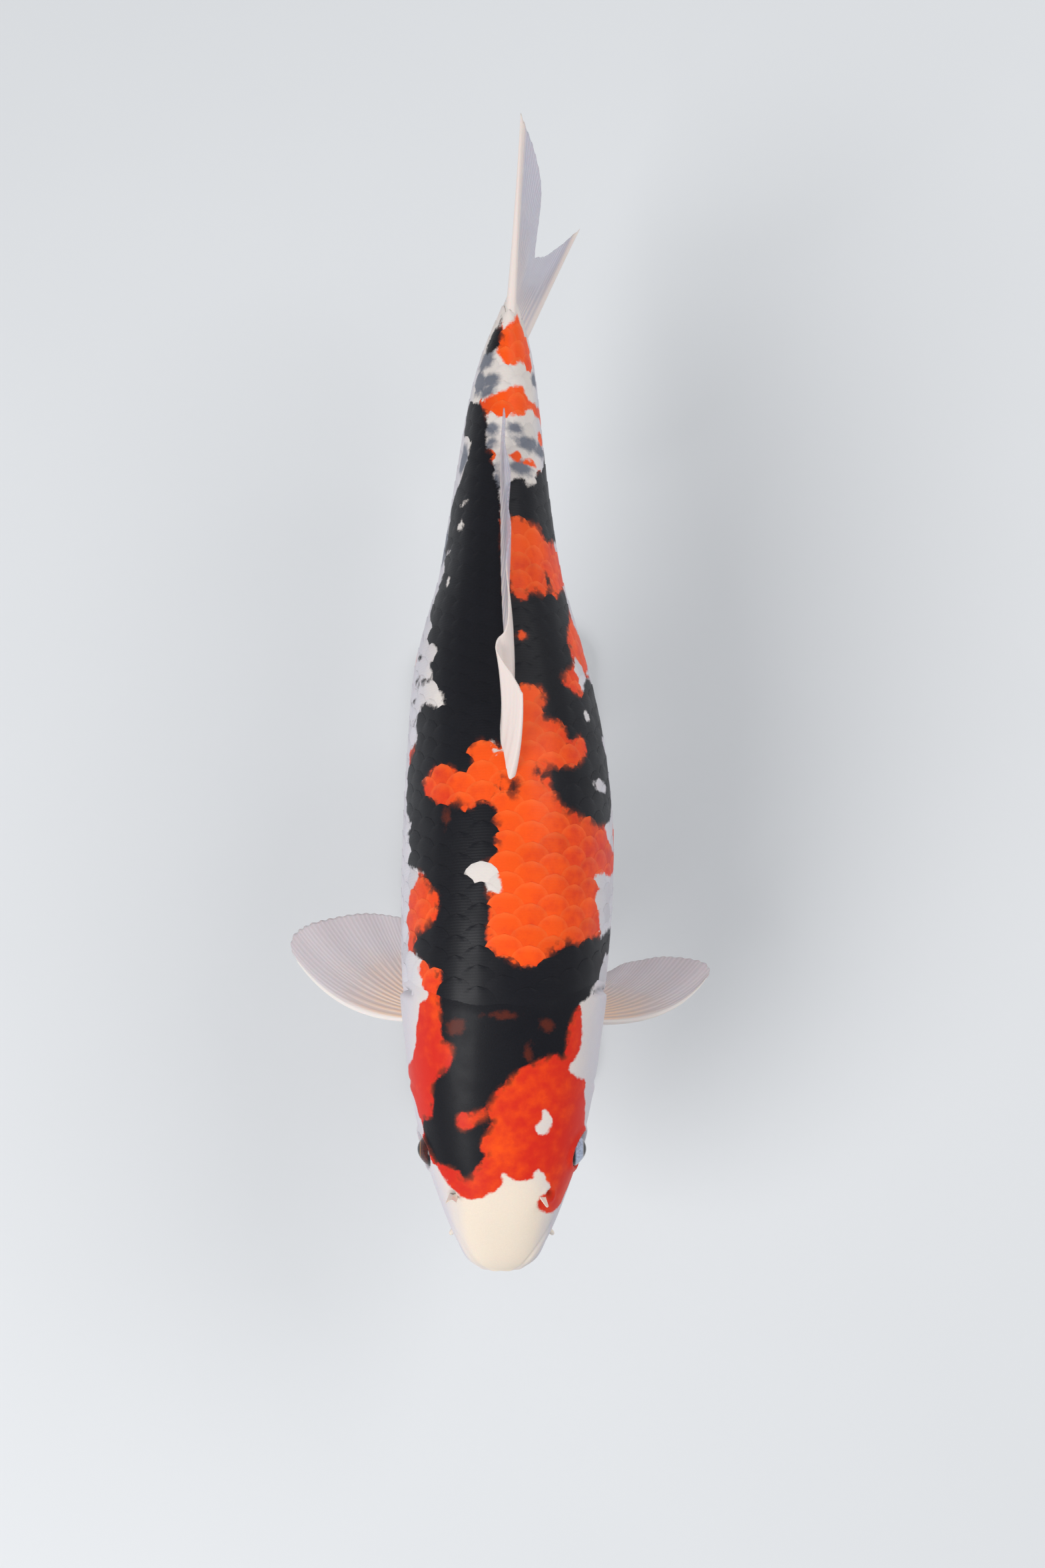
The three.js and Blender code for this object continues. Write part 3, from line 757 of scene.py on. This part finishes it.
def makeSkin():
    deselectAll()
    bpy.ops.mesh.primitive_uv_sphere_add(segments=skin["sides"], ring_count=skin["rings"], radius=1)
    piece = newPiece("skin")
    ball = readPoints(piece)
    share = np.arccos(np.clip(ball[:, 2], -1, 1)) / math.pi
    along = share**1.5 * body["length"]
    fromBack = np.arctan2(ball[:, 0], ball[:, 1]) / math.pi
    around = fromBack * halfGirth(along)
    plain = plainSkin(along, around)
    lift = -skin["under"] * ramp(gillEdge(plain), 0, 10)
    placePoints(piece, skinPoint(along, around, lift))
    # the skin is darkened in its mouth, nostrils, orbits and gill groove: painted shade
    setMarks(piece, around, along, np.zeros(len(along)), 0.5 - 2.4 * creaseAt(along, around, plain))
    faceOutward(piece)
    finishPiece(piece, skinMaterial, skin["nodes"])


print("stage: skin")
makeSkin()


scales = {
    "pitch": 10.6,
    "firstAlong": 122,
    "lastAlong": 522,
    "fromGill": 5,
    "rowFront": 13.3,
    "rowRear": 9.4,
    "rows": 16,
    "forward": 1.05,
    "back": 0.8,
    "halfHeight": 0.8,
    "sunk": 0.8,  # how deep the front edge lies
    "proud": -0.2,
    "thickness": 0.16,
    "faces": (8, 7),  # across and along one scale
    "apart": 4,  # between the copies before each is laid on the skin
    "patch": 0.003,
    "mapWidth": 560,
}


def rowSpacing(along):
    share = np.clip((along - 230) / (500 - 230), 0, 1)
    return scales["rowFront"] + (scales["rowRear"] - scales["rowFront"]) * share


# Where each scale of one side sits: along, around.
def scalePlaces(side):
    places = []
    count = int((scales["lastAlong"] - scales["firstAlong"]) / scales["pitch"]) + 1
    for row in range(0 if side > 0 else 1, scales["rows"] + 1):
        for step in range(count):
            along = scales["firstAlong"] + (step + 0.5 * (row % 2)) * scales["pitch"]
            around = side * row * rowSpacing(along)
            if abs(around) > halfGirth(along) - 0.3 * rowSpacing(along) or along > scales["lastAlong"]:
                continue
            if gillEdge(plainSkin(along, around)) >= scales["fromGill"]:
                places.append((along, around))
    return np.array(places)


# A scale is an open shell on the skin: its faces are turned to look away from the body.
def faceOutwardByShape(piece):
    mesh = piece.data
    normals = np.empty(len(mesh.polygons) * 3)
    centres = np.empty(len(mesh.polygons) * 3)
    mesh.polygons.foreach_get("normal", normals)
    mesh.polygons.foreach_get("center", centres)
    axis = centres.reshape(-1, 3) - snout
    axis[:, 1] = 0
    if (normals.reshape(-1, 3) * axis).sum() < 0:
        mesh.flip_normals()
    selectOnly(piece)
    bpy.ops.object.shade_smooth_by_angle(angle=math.radians(35))


def makeScales(name, side, seed):
    places = scalePlaces(side)
    random = np.random.default_rng(seed)
    deselectAll()
    across, lengthwise = scales["faces"]
    bpy.ops.mesh.primitive_grid_add(x_subdivisions=across, y_subdivisions=lengthwise, size=2)
    piece = newPiece(name)
    count = len(places)
    array = piece.modifiers.new("copies", "ARRAY")
    array.count = count
    array.use_relative_offset = False
    array.use_constant_offset = True
    array.constant_offset_displace = (scales["apart"], 0, 0)
    bpy.ops.object.modifier_apply(modifier="copies")
    points = readPoints(piece)
    index = np.clip(np.rint(points[:, 0] / scales["apart"]), 0, count - 1).astype(int)
    u = (points[:, 1] + 1) / 2
    v = points[:, 0] - scales["apart"] * index
    # the outermost ring of the grid is the scale's own thin edge, turned down to the skin
    edgeRow = (u > 0.99) | (np.abs(v) > 0.99)
    u = 1 - np.clip(1 - u / ((lengthwise - 1) / lengthwise), 0, 1) ** 1.5
    v = np.clip(v / ((across - 2) / across), -1, 1)
    along, around = places[index, 0], places[index, 1]
    spacing = rowSpacing(along)
    jitter = random.normal(0, 1, (count, 3))[index]
    half = spacing * scales["halfHeight"] * (1 + 0.03 * jitter[:, 0])
    backShare = np.clip((u - 0.42) / 0.58, 0, 1)
    narrow = np.sqrt(np.clip(1 - backShare**2.3, 0.0, 1)) * (0.82 + 0.18 * ramp(u, 0, 0.4))
    offset = scales["pitch"] * (-scales["forward"] + (scales["forward"] + scales["back"]) * u)
    here = along + offset + 0.25 * jitter[:, 1]
    aside = around + v * half * np.maximum(narrow, 0.06)
    # rows close up towards the tail
    aside = aside * rowSpacing(here) / spacing
    height = -scales["sunk"] + (scales["sunk"] + scales["proud"]) * u - 0.15 * v**2
    height = np.where(edgeRow, height - scales["thickness"], height)
    limit = halfGirth(here)
    aside = np.clip(aside, -limit, limit)
    placePoints(piece, skinPoint(np.clip(here, 1, body["length"] - 1), aside, height))
    edge = ramp(np.maximum(u**3, np.abs(v) ** 3 * 0.8), 0.45, 1)
    tone = np.clip(0.5 + 0.18 * jitter[:, 2], 0, 1)
    setMarks(piece, aside, here, edge, tone, (around, along + 2.5))
    unwrapped = np.stack([0.5 + around / scales["mapWidth"], along / scales["mapWidth"]], -1)
    patch = np.stack([v * 0.5, u - 0.5], -1) * scales["patch"]
    setCornerMap(piece, "OFBake", unwrapped + patch)
    setCornerMap(piece, "growth", np.stack([u * 4, v], -1))
    faceOutwardByShape(piece)
    finishPiece(piece, scaleMaterial, [])


print("stage: scales")
makeScales("scales_left", 1, 11)
makeScales("scales_right", -1, 12)


# A ray is (share, root, tip): share runs from the leading ray, 0, to the last one, 1.
def ridge(along, aside=0, sink=3):
    return (sideways(along) + aside, along, backHeight(along) - sink)


def keel(along, aside=0, sink=3):
    return (sideways(along) + aside, along, bellyDepth(along) + sink)


def mirrored(rays):
    return [(share, (-a, b, c), (-x, y, z)) for share, (a, b, c), (x, y, z) in rays]


finDefaults = {
    "look": "cream", "bow": (0, 0, 0), "edge": 0.5, "spread": 0.1, "ripple": 0.35, "bothEdges": False,
    "opaque": None, "perRay": 8,
}
pelvicFin = {
    "count": 9, "rows": 44, "root": 4, "rim": 1,
    "rays": [
        (0, (22, 259, -60), (39, 318, -86)),
        (0.3, (19, 263, -62), (36, 325, -89)),
        (0.65, (15, 267, -63), (26, 322, -89)),
        (1, (11, 271, -64), (15, 307, -83)),
    ],
}
pectoralFin = {"count": 17, "rows": 56, "root": 5, "rim": 0.8, "spread": 0.05}
fins = {
    "dorsal_fin": {
        "count": 21, "rows": 36, "root": 2.8, "edge": 0.6, "rim": 4.5, "look": "clear", "ripple": 0.9,
        "opaque": (0.3, 0.5), "bow": (2, 0, 0),
        "rays": [
            (0, ridge(249, 1.8), (11.5, 292, 101)),
            (0.05, ridge(256, 1), (9, 296, 102)),
            (0.1, ridge(263, -0.5), (5, 303, 102)),
            (0.15, ridge(270, -2), (-1, 314, 101.5)),
            (0.2, ridge(280, -1.5), (-0.4, 321, 100.5)),
            (0.24, ridge(290, 3), (3, 327, 99.5)),
            (0.3, ridge(304, 4.5), (3.6, 345, 96)),
            (0.45, ridge(331, 2.2), (4, 373, 87)),
            (0.63, ridge(363, 1), (4.6, 400, 76)),
            (0.82, ridge(397, 0.6), (3.3, 430, 63)),
            (1, ridge(430, 0.4), (0.6, 459, 53)),
        ],
    },
    "anal_fin": {
        "count": 8, "rows": 40, "root": 3, "rim": 1.2,
        "rays": [
            (0, keel(420), (2.5, 459, -82)),
            (0.25, keel(427), (3.5, 468, -77)),
            (0.6, keel(437), (3, 473, -63)),
            (1, keel(448), (2, 473, -48)),
        ],
    },
    "pelvic_fin_left": pelvicFin,
    "pelvic_fin_right": {**pelvicFin, "rays": mirrored(pelvicFin["rays"])},
    "pectoral_fin_left": {
        **pectoralFin,
        "bow": (7, -9, 2),
        "rays": [
            (0, (42, 133.5, -43), (115, 157.5, -60)),
            (0.1, (42.3, 135.5, -44.5), (118.7, 164, -64)),
            (0.2, (42.6, 137, -45.5), (114.5, 169, -67)),
            (0.4, (43, 139.5, -47.5), (98, 172.5, -72.5)),
            (0.7, (43, 143.5, -50), (75, 170, -76)),
            (1, (43, 147, -52), (58, 163, -76)),
        ],
    },
    "pectoral_fin_right": {
        **pectoralFin,
        "bow": (-5, -10.5, 0),
        "rays": [
            (0, (-41, 134, -41), (-116.5, 168, -56)),
            (0.1, (-41.5, 137, -41), (-120.5, 177.5, -56)),
            (0.2, (-41.7, 139, -41.5), (-117.5, 185.5, -55.5)),
            (0.4, (-42, 142, -42), (-104, 191.5, -53.5)),
            (0.7, (-43, 147, -43), (-78, 195.5, -50.5)),
            (1, (-44, 152, -44), (-55, 192.5, -47)),
        ],
    },
    "tail_fin": {
        "nodes": ["tail_fin_upper", "tail_fin_lower"],
        "count": 22, "rows": 60, "root": 3.2, "rim": 4.5, "spread": 0.07, "bothEdges": True, "look": "clear",
        "rays": [
            (0, (4.8, 519, 30), (10.5, 620, 70)),
            (0.06, (4.8, 525, 26), (13, 614.5, 65)),
            (0.16, (5, 531, 20), (18, 606, 55)),
            (0.26, (5, 534, 14), (21, 595, 43)),
            (0.37, (5.2, 535, 8), (21.5, 583, 28)),
            (0.5, (5.4, 535, 0), (18, 568, 2)),
            (0.63, (5.8, 535, -8), (21, 573, -15)),
            (0.74, (6.4, 534, -14), (26, 581, -31)),
            (0.85, (7, 531, -20), (33, 592, -46)),
            (0.94, (8, 525, -26), (41, 604, -57)),
            (1, (8.5, 519, -30), (46, 610, -61)),
        ],
    },
}


# Smooth curves through the rays' roots and tips.
def rayEnds(rays, share):
    shares = np.array([ray[0] for ray in rays])
    share = np.clip(share, 0, 1)
    i = np.clip(np.searchsorted(shares, share) - 1, 0, len(shares) - 2)
    t = ((share - shares[i]) / (shares[i + 1] - shares[i]))[..., None]
    ends = []
    for index in (1, 2):
        points = np.array([ray[index] for ray in rays], float)
        points = np.vstack([2 * points[0] - points[1], points, 2 * points[-1] - points[-2]])
        ends.append(cubic(points[i], points[i + 1], points[i + 2], points[i + 3], t))
    return ends


def finPoint(fin, share, out):
    start, tip = rayEnds(fin["rays"], share)
    bend = np.array(fin["bow"])
    fade = 4 * out * (1 - out) * (1 - np.clip(share, 0, 1))
    return start + (tip - start) * out[..., None] + bend * fade[..., None]


def makeFin(name, fin, material):
    deselectAll()
    bpy.ops.mesh.primitive_grid_add(
        x_subdivisions=fin["count"] * fin["perRay"], y_subdivisions=fin["rows"], size=2
    )
    piece = newPiece(name)
    bpy.ops.object.mode_set(mode="EDIT")
    bpy.ops.mesh.select_all(action="SELECT")
    bpy.ops.mesh.extrude_region_move(TRANSFORM_OT_translate={"value": (0, 0, 1)})
    bpy.ops.object.mode_set(mode="OBJECT")
    grid = readPoints(piece)
    share = (grid[:, 0] + 1) / 2
    out = (grid[:, 1] + 1) / 2
    face = np.where(grid[:, 2] > 0.5, 1, -1)
    phase = share * fin["count"]
    single = 0.5 + 0.5 * np.cos(2 * math.pi * phase)
    double = 0.5 + 0.5 * np.cos(4 * math.pi * phase)
    split = ramp(out, 0.42, 0.62)
    rib = single * (1 - split) + double * split
    reach = out * (1 - 0.009 * (1 - single) * out**6)
    step = 0.01
    aside = finPoint(fin, share + step, reach) - finPoint(fin, share - step, reach)
    outward = finPoint(fin, share, reach + step) - finPoint(fin, share, reach - step)
    normal = np.cross(aside, outward)
    normal /= np.maximum(np.linalg.norm(normal, axis=1, keepdims=True), 1e-9)
    stout = bump(share, fin["spread"])
    if fin["bothEdges"]:
        stout = stout + bump(1 - share, fin["spread"])
    thickness = fin["root"] + (fin["edge"] - fin["root"]) * out**0.6
    thickness = thickness + fin["rim"] * (1 - 0.85 * out) * stout
    half = thickness / 2 + (0.24 * rib - 0.16) * (1 - 0.85 * out) * ramp(out, 0.02, 0.2)
    edgeShare = np.minimum(share, 1 - share) if fin["bothEdges"] else share
    rounded = np.sqrt(1 - (1 - np.clip(edgeShare / fin["spread"], 0, 1)) ** 2)
    half = np.maximum(half * (0.3 + 0.7 * rounded), 0.15)
    ripple = fin["ripple"] * np.sin(phase * 1.3) * out**1.5 * (1 - stout)
    placePoints(piece, finPoint(fin, share, reach) + normal * (face * half + ripple)[:, None])
    if fin["opaque"]:
        stout = np.maximum(stout, 1 - ramp(share, *fin["opaque"]))
    setValues(piece, "stout", np.clip(stout, 0, 1))
    setCornerMap(piece, "rays", np.stack([phase, out], -1))
    faceOutward(piece)
    finishPiece(piece, material, fin["nodes"])


# Rays that part in two half way out, with thinner clear skin between them.
def makeRayGroup():
    tree, given, out = newGroup(
        "finRays",
        {"Map": "NodeSocketVector", "Crossbars": "NodeSocketFloat"},
        {"Ray": "NodeSocketFloat", "Out": "NodeSocketFloat", "Height": "NodeSocketFloat"},
    )
    parts = addNode(tree, "ShaderNodeSeparateXYZ", {0: given.outputs["Map"]})
    turns = maths(tree, "MULTIPLY", parts.outputs[0], 2 * math.pi)
    single = maths(tree, "MULTIPLY_ADD", maths(tree, "COSINE", turns), 0.5, 0.5)
    double = maths(tree, "MULTIPLY_ADD", maths(tree, "COSINE", maths(tree, "MULTIPLY", turns, 2.0)), 0.5, 0.5)
    split = rescale(tree, parts.outputs[1], 0.42, 0.62)
    mixed = addNode(tree, "ShaderNodeMix", {0: split, 2: single, 3: double}, data_type="FLOAT").outputs[0]
    ray = rescale(tree, mixed, 0.25, 0.8)
    bars = maths(tree, "SINE", maths(tree, "MULTIPLY", parts.outputs[1], given.outputs["Crossbars"]))
    barred = maths(tree, "MULTIPLY_ADD", maths(tree, "MULTIPLY", bars, ray), 0.12, ray)
    tree.links.new(ray, out.inputs["Ray"])
    tree.links.new(parts.outputs[1], out.inputs["Out"])
    tree.links.new(barred, out.inputs["Height"])
    return tree


rayGroup = makeRayGroup()
finLooks = {
    "cream": {
        "root": (0.80, 0.56, 0.40, 1), "tip": (0.66, 0.60, 0.62, 1), "gap": (0.52, 0.44, 0.44, 1),
        "stout": (0.80, 0.74, 0.70, 1), "clear": 0.34,
    },
    "clear": {
        "root": (0.72, 0.62, 0.58, 1), "tip": (0.56, 0.54, 0.62, 1), "gap": (0.46, 0.44, 0.52, 1),
        "stout": (0.78, 0.68, 0.63, 1), "clear": 0.5,
    },
}


def makeFinMaterial(name, look):
    material, tree, shader = newMaterial(
        name, IOR=1.4, Specular_IOR_Level=0.3, Coat_Weight=0.08, Coat_Roughness=0.25,
        Subsurface_Weight=0.15, Subsurface_Scale=0.003,
    )
    rays = addNode(tree, "ShaderNodeGroup", node_tree=rayGroup)
    rays.inputs["Crossbars"].default_value = 150
    tree.links.new(addNode(tree, "ShaderNodeUVMap", uv_map="rays").outputs[0], rays.inputs["Map"])
    place = objectPlace(tree)
    stout = attributeOf(tree, "stout")
    mottle = noiseAt(tree, place, 11, 3)
    outward = maths(tree, "ADD", rays.outputs["Out"], maths(tree, "MULTIPLY_ADD", mottle, 0.4, -0.2))
    color = blend(tree, rescale(tree, outward, 0.05, 0.75), look["root"], look["tip"])
    between = maths(tree, "SUBTRACT", 1.0, rays.outputs["Ray"])
    gapShare = maths(tree, "MULTIPLY", between, rescale(tree, rays.outputs["Out"], 0.2, 0.8, 0.55, 0.14))
    color = blend(tree, gapShare, color, look["gap"])
    color = blend(tree, rescale(tree, stout, 0.2, 0.75), color, look["stout"])
    tree.links.new(color, shader.inputs["Base Color"])
    thin = maths(tree, "MULTIPLY", maths(tree, "MULTIPLY_ADD", between, 0.3, 0.7), look["clear"])
    thin = maths(tree, "MULTIPLY", thin, rescale(tree, rays.outputs["Out"], 0.08, 0.7))
    thin = maths(tree, "MULTIPLY", thin, maths(tree, "SUBTRACT", 1.0, stout))
    tree.links.new(maths(tree, "SUBTRACT", 1.0, thin), shader.inputs["Alpha"])
    tree.links.new(rescale(tree, mottle, 0.2, 0.8, 0.3, 0.5, False), shader.inputs["Roughness"])
    raiseBy(tree, shader, rays.outputs["Height"], 0.14, 0.0004)
    return material


print("stage: fins")
finMaterials = {key: makeFinMaterial(key + "Fin", look) for key, look in finLooks.items()}
for finName, finFacts in fins.items():
    rayedFin = {"nodes": [finName], **finDefaults, **finFacts}
    makeFin(finName + "_rayed", rayedFin, finMaterials[rayedFin["look"]])


flap = {
    "left": [
        (0, (22.8, 41.5, 19.5), (25, 34.4, 26)),
        (0.5, (21.2, 40.3, 20.8), (24.4, 34, 27)),
        (1, (19, 41, 21.3), (23.6, 34.6, 27)),
    ],
    "right": [
        (0, (-27, 41, 18), (-28.8, 35.8, 24)),
        (0.5, (-25, 39.8, 20), (-25.6, 37.6, 25)),
        (1, (-22.3, 40.8, 21), (-23.2, 35.9, 26)),
    ],
    "count": 2, "rows": 14, "root": 1.4, "edge": 0.4, "rim": 0, "spread": 1, "ripple": 0,
}
barbels = {
    "lip": {
        "path": [(16.3, 8.5, -12.5), (17.6, 8, -16), (18, 7.8, -19.5), (17.4, 9, -23.5)],
        "radius": (1.5, 0.5),
    },
    "corner": {
        "path": [
            (22, 22, -23), (25.3, 20.5, -25.5), (27.4, 18.5, -30), (27.6, 18.3, -35.5), (26.6, 20.5, -41),
        ],
        "radius": (2.0, 0.6),
    },
}


def curveThrough(path, share):
    path = np.array(path, float)
    path = np.vstack([2 * path[0] - path[1], path, 2 * path[-1] - path[-2]])
    spot = share * (len(path) - 3)
    i = np.clip(spot.astype(int), 0, len(path) - 4)
    t = (spot - i)[:, None]
    return cubic(path[i], path[i + 1], path[i + 2], path[i + 3], t)


def makeBarbel(name, facts, side, node):
    deselectAll()
    bpy.ops.mesh.primitive_uv_sphere_add(segments=20, ring_count=40, radius=1)
    piece = newPiece(name)
    ball = readPoints(piece)
    share = np.arccos(np.clip(ball[:, 2], -1, 1)) / math.pi
    path = [(side * x, y, z) for x, y, z in facts["path"]]
    centre = curveThrough(path, share)
    ahead = curveThrough(path, np.minimum(share + 0.01, 1)) - curveThrough(path, np.maximum(share - 0.01, 0))
    ahead /= np.linalg.norm(ahead, axis=1, keepdims=True)
    first = np.cross(ahead, np.array([0.3, 1.0, 0.2]))
    first /= np.linalg.norm(first, axis=1, keepdims=True)
    second = np.cross(ahead, first)
    turn = np.arctan2(ball[:, 1], ball[:, 0])[:, None]
    thick, thin = facts["radius"]
    radius = (thick + (thin - thick) * share) * np.sin(np.clip(share * 0.96 + 0.04, 0, 1) * math.pi) ** 0.16
    radius = np.where(share > 0.97, radius * (1 - share) / 0.03, radius)[:, None]
    rings = 1 + 0.04 * np.sin(share * 90)[:, None]
    placePoints(piece, centre + radius * rings * (first * np.cos(turn) + second * np.sin(turn)))
    faceOutward(piece)
    finishPiece(piece, feelerMaterial, [node])


def makeFeelerMaterial():
    material, tree, shader = newMaterial(
        "feelerSkin", Roughness=0.4, IOR=1.4, Coat_Weight=0.2, Coat_Roughness=0.15,
        Subsurface_Weight=0.2, Subsurface_Scale=0.003,
    )
    place = objectPlace(tree)
    mottle = noiseAt(tree, place, 3.5, 3)
    color = blend(tree, rescale(tree, mottle, 0.3, 0.7), palette["white"], palette["snout"])
    tree.links.new(color, shader.inputs["Base Color"])
    raiseBy(tree, shader, noiseAt(tree, place, 0.7, 2), 0.2, 0.0003)
    return material


print("stage: feelers")
feelerMaterial = makeFeelerMaterial()
for sideName, sideSign in (("left", 1), ("right", -1)):
    flapFacts = {**finDefaults, **flap, "rays": flap[sideName], "nodes": ["nostril_flap_" + sideName]}
    makeFin("nostril_leaf_" + sideName, flapFacts, feelerMaterial)
    for barbelName, barbelFacts in barbels.items():
        makeBarbel(
            barbelName + "_feeler_" + sideName, barbelFacts, sideSign, barbelName + "_barbel_" + sideName
        )


# Angles from the middle of the eye, in radians.
eyeAngles = {"pupil": (0.43, 0.46), "ring": 0.47, "ringEdge": (0.02, 0.06), "rim": (0.98, 1.12)}
eyeDark = {"pupil": (0.002, 0.002, 0.003, 1), "rim": (0.012, 0.010, 0.011, 1)}
eyeLooks = {
    "right": {
        "iris": (0.085, 0.012, 0.006, 1), "flecks": (0.02, 0.006, 0.005, 1), "ring": (0.35, 0.16, 0.05, 1),
    },
    "left": {"iris": (0.44, 0.50, 0.64, 1), "flecks": (0.26, 0.30, 0.40, 1), "ring": (0.30, 0.29, 0.30, 1)},
}


def makeEyeMaterial(name, look):
    material, tree, shader = newMaterial(
        name, Roughness=0.15, IOR=1.38, Specular_IOR_Level=0.3, Coat_Weight=0.4, Coat_Roughness=0.03,
    )
    angle = attributeOf(tree, "angle")
    place = objectPlace(tree)
    streaks = noiseAt(tree, place, 1.2, 4, 0.7)
    color = blend(tree, rescale(tree, streaks, 0.35, 0.68), look["iris"], look["flecks"])
    fromRing = maths(tree, "ABSOLUTE", maths(tree, "SUBTRACT", angle, eyeAngles["ring"]))
    color = blend(tree, rescale(tree, fromRing, *eyeAngles["ringEdge"], 1, 0), color, look["ring"])
    color = blend(tree, rescale(tree, angle, *eyeAngles["pupil"], 1, 0), color, eyeDark["pupil"])
    color = blend(tree, rescale(tree, angle, *eyeAngles["rim"]), color, eyeDark["rim"])
    tree.links.new(color, shader.inputs["Base Color"])
    return material


def makeEye(name, side):
    deselectAll()
    bpy.ops.mesh.primitive_uv_sphere_add(segments=64, ring_count=48, radius=1)
    piece = newPiece(name)
    ball = readPoints(piece)
    ball /= np.linalg.norm(ball, axis=1, keepdims=True)
    # the sphere's pole is turned to the side that the eye looks to
    looking = np.stack([side * ball[:, 2], ball[:, 0], side * ball[:, 1]], -1)
    angle = np.arccos(np.clip(ball[:, 2], -1, 1))
    radius = eye["radius"] + eye["bulge"] * (1 - ramp(angle, 0.0, 0.75)) - 0.3 * ramp(angle, 1.0, 1.4)
    middle = np.array([side * eye["side"] + sideways(eye["along"]), eye["along"], eye["up"]])
    placePoints(piece, middle + looking * radius[:, None])
    setValues(piece, "angle", angle)
    faceOutward(piece)
    sideName = "left" if side > 0 else "right"
    finishPiece(piece, makeEyeMaterial(name + "Iris", eyeLooks[sideName]), ["eye_" + sideName])


print("stage: eyes")
makeEye("eye_ball_left", 1)
makeEye("eye_ball_right", -1)


def makePaint():
    material, tree, shader = newMaterial("standPaint", IOR=1.5)
    place = objectPlace(tree)
    grain = noiseAt(tree, place, 0.8, 3)
    wear = noiseAt(tree, place, 30, 4)
    color = blend(tree, rescale(tree, wear, 0.3, 0.7), (0.50, 0.49, 0.47, 1), (0.58, 0.57, 0.55, 1))
    tree.links.new(color, shader.inputs["Base Color"])
    tree.links.new(rescale(tree, wear, 0.2, 0.8, 0.42, 0.58, False), shader.inputs["Roughness"])
    raiseBy(tree, shader, grain, 0.25, 0.0003)
    return material


def makeSteel():
    material, tree, shader = newMaterial("standSteel", Metallic=1.0)
    place = objectPlace(tree)
    stretched = addNode(tree, "ShaderNodeMapping", {"Vector": place, "Scale": (1, 1, 0.04)}).outputs[0]
    brushed = noiseAt(tree, stretched, 0.5, 3)
    color = blend(tree, brushed, (0.50, 0.51, 0.53, 1), (0.66, 0.67, 0.69, 1))
    tree.links.new(color, shader.inputs["Base Color"])
    tree.links.new(rescale(tree, brushed, 0.2, 0.8, 0.22, 0.4, False), shader.inputs["Roughness"])
    raiseBy(tree, shader, brushed, 0.15, 0.0002)
    return material


print("stage: stand")
standLooks = {"stand_base": makePaint()}
steel = makeSteel()
for nodeName in ("stand_foot_front", "stand_foot_rear", "stand_rod_front", "stand_rod_rear"):
    standLooks[nodeName] = steel
for nodeName, look in standLooks.items():
    node = bpy.data.objects[nodeName]
    node.data.materials.clear()
    node.data.materials.append(look)


stage = {"floor": 60.0, "sky": 0.55, "skyColor": (0.93, 0.96, 1.0, 1), "litSpot": (0, 0, 0.1)}
lights = {
    "key": {"place": (-1.3, -1.0, 1.7), "size": 1.3, "power": 30},
    "fill": {"place": (1.4, 0.7, 1.5), "size": 1.6, "power": 14},
}
view = {"lens": 50, "sensor": 36, "tilt": 9, "distance": 1197.5, "middle": (11.4, 261.7, 0)}


def makeFloor():
    deselectAll()
    bpy.ops.mesh.primitive_plane_add(size=stage["floor"], location=(0, 0, 0))
    floor = newPiece("floor")
    material, tree, shader = newMaterial("floorPaint", Roughness=0.8)
    place = objectPlace(tree)
    cloud = addNode(tree, "ShaderNodeTexNoise", {"Vector": place, "Scale": 3.0, "Detail": 4.0}).outputs["Fac"]
    color = blend(tree, cloud, (0.70, 0.71, 0.72, 1), (0.74, 0.75, 0.76, 1))
    tree.links.new(color, shader.inputs["Base Color"])
    floor.data.materials.append(material)


def makeLight(name, place, size, power):
    data = bpy.data.lights.new(name, "AREA")
    data.shape = "DISK"
    data.size = size
    data.energy = power
    light = bpy.data.objects.new(name, data)
    scene.collection.objects.link(light)
    light.location = place
    away = np.array(place) - np.array(stage["litSpot"])
    flat = math.hypot(away[0], away[1])
    light.rotation_euler = (math.atan2(flat, away[2]), 0, math.atan2(away[0], -away[1]))


def makeCamera():
    data = bpy.data.cameras.new("camera")
    data.lens = view["lens"]
    data.sensor_width = view["sensor"]
    camera = bpy.data.objects.new("camera", data)
    scene.collection.objects.link(camera)
    tilt = math.radians(view["tilt"])
    middle = snout + np.array(view["middle"]) * mm
    back = np.array([0, -math.sin(tilt), math.cos(tilt)]) * view["distance"] * mm
    camera.location = middle + back
    camera.rotation_euler = (tilt, 0, 0)
    scene.camera = camera


print("stage: floor, light, camera")
makeFloor()
for lightName, lightFacts in lights.items():
    makeLight(lightName, **lightFacts)
makeCamera()
world = bpy.data.worlds.new("room")
scene.world = world
world.use_nodes = True
sky = world.node_tree.nodes["Background"]
sky.inputs[0].default_value = stage["skyColor"]
sky.inputs[1].default_value = stage["sky"]
scene.view_settings.view_transform = "Standard"

print("stage: done")
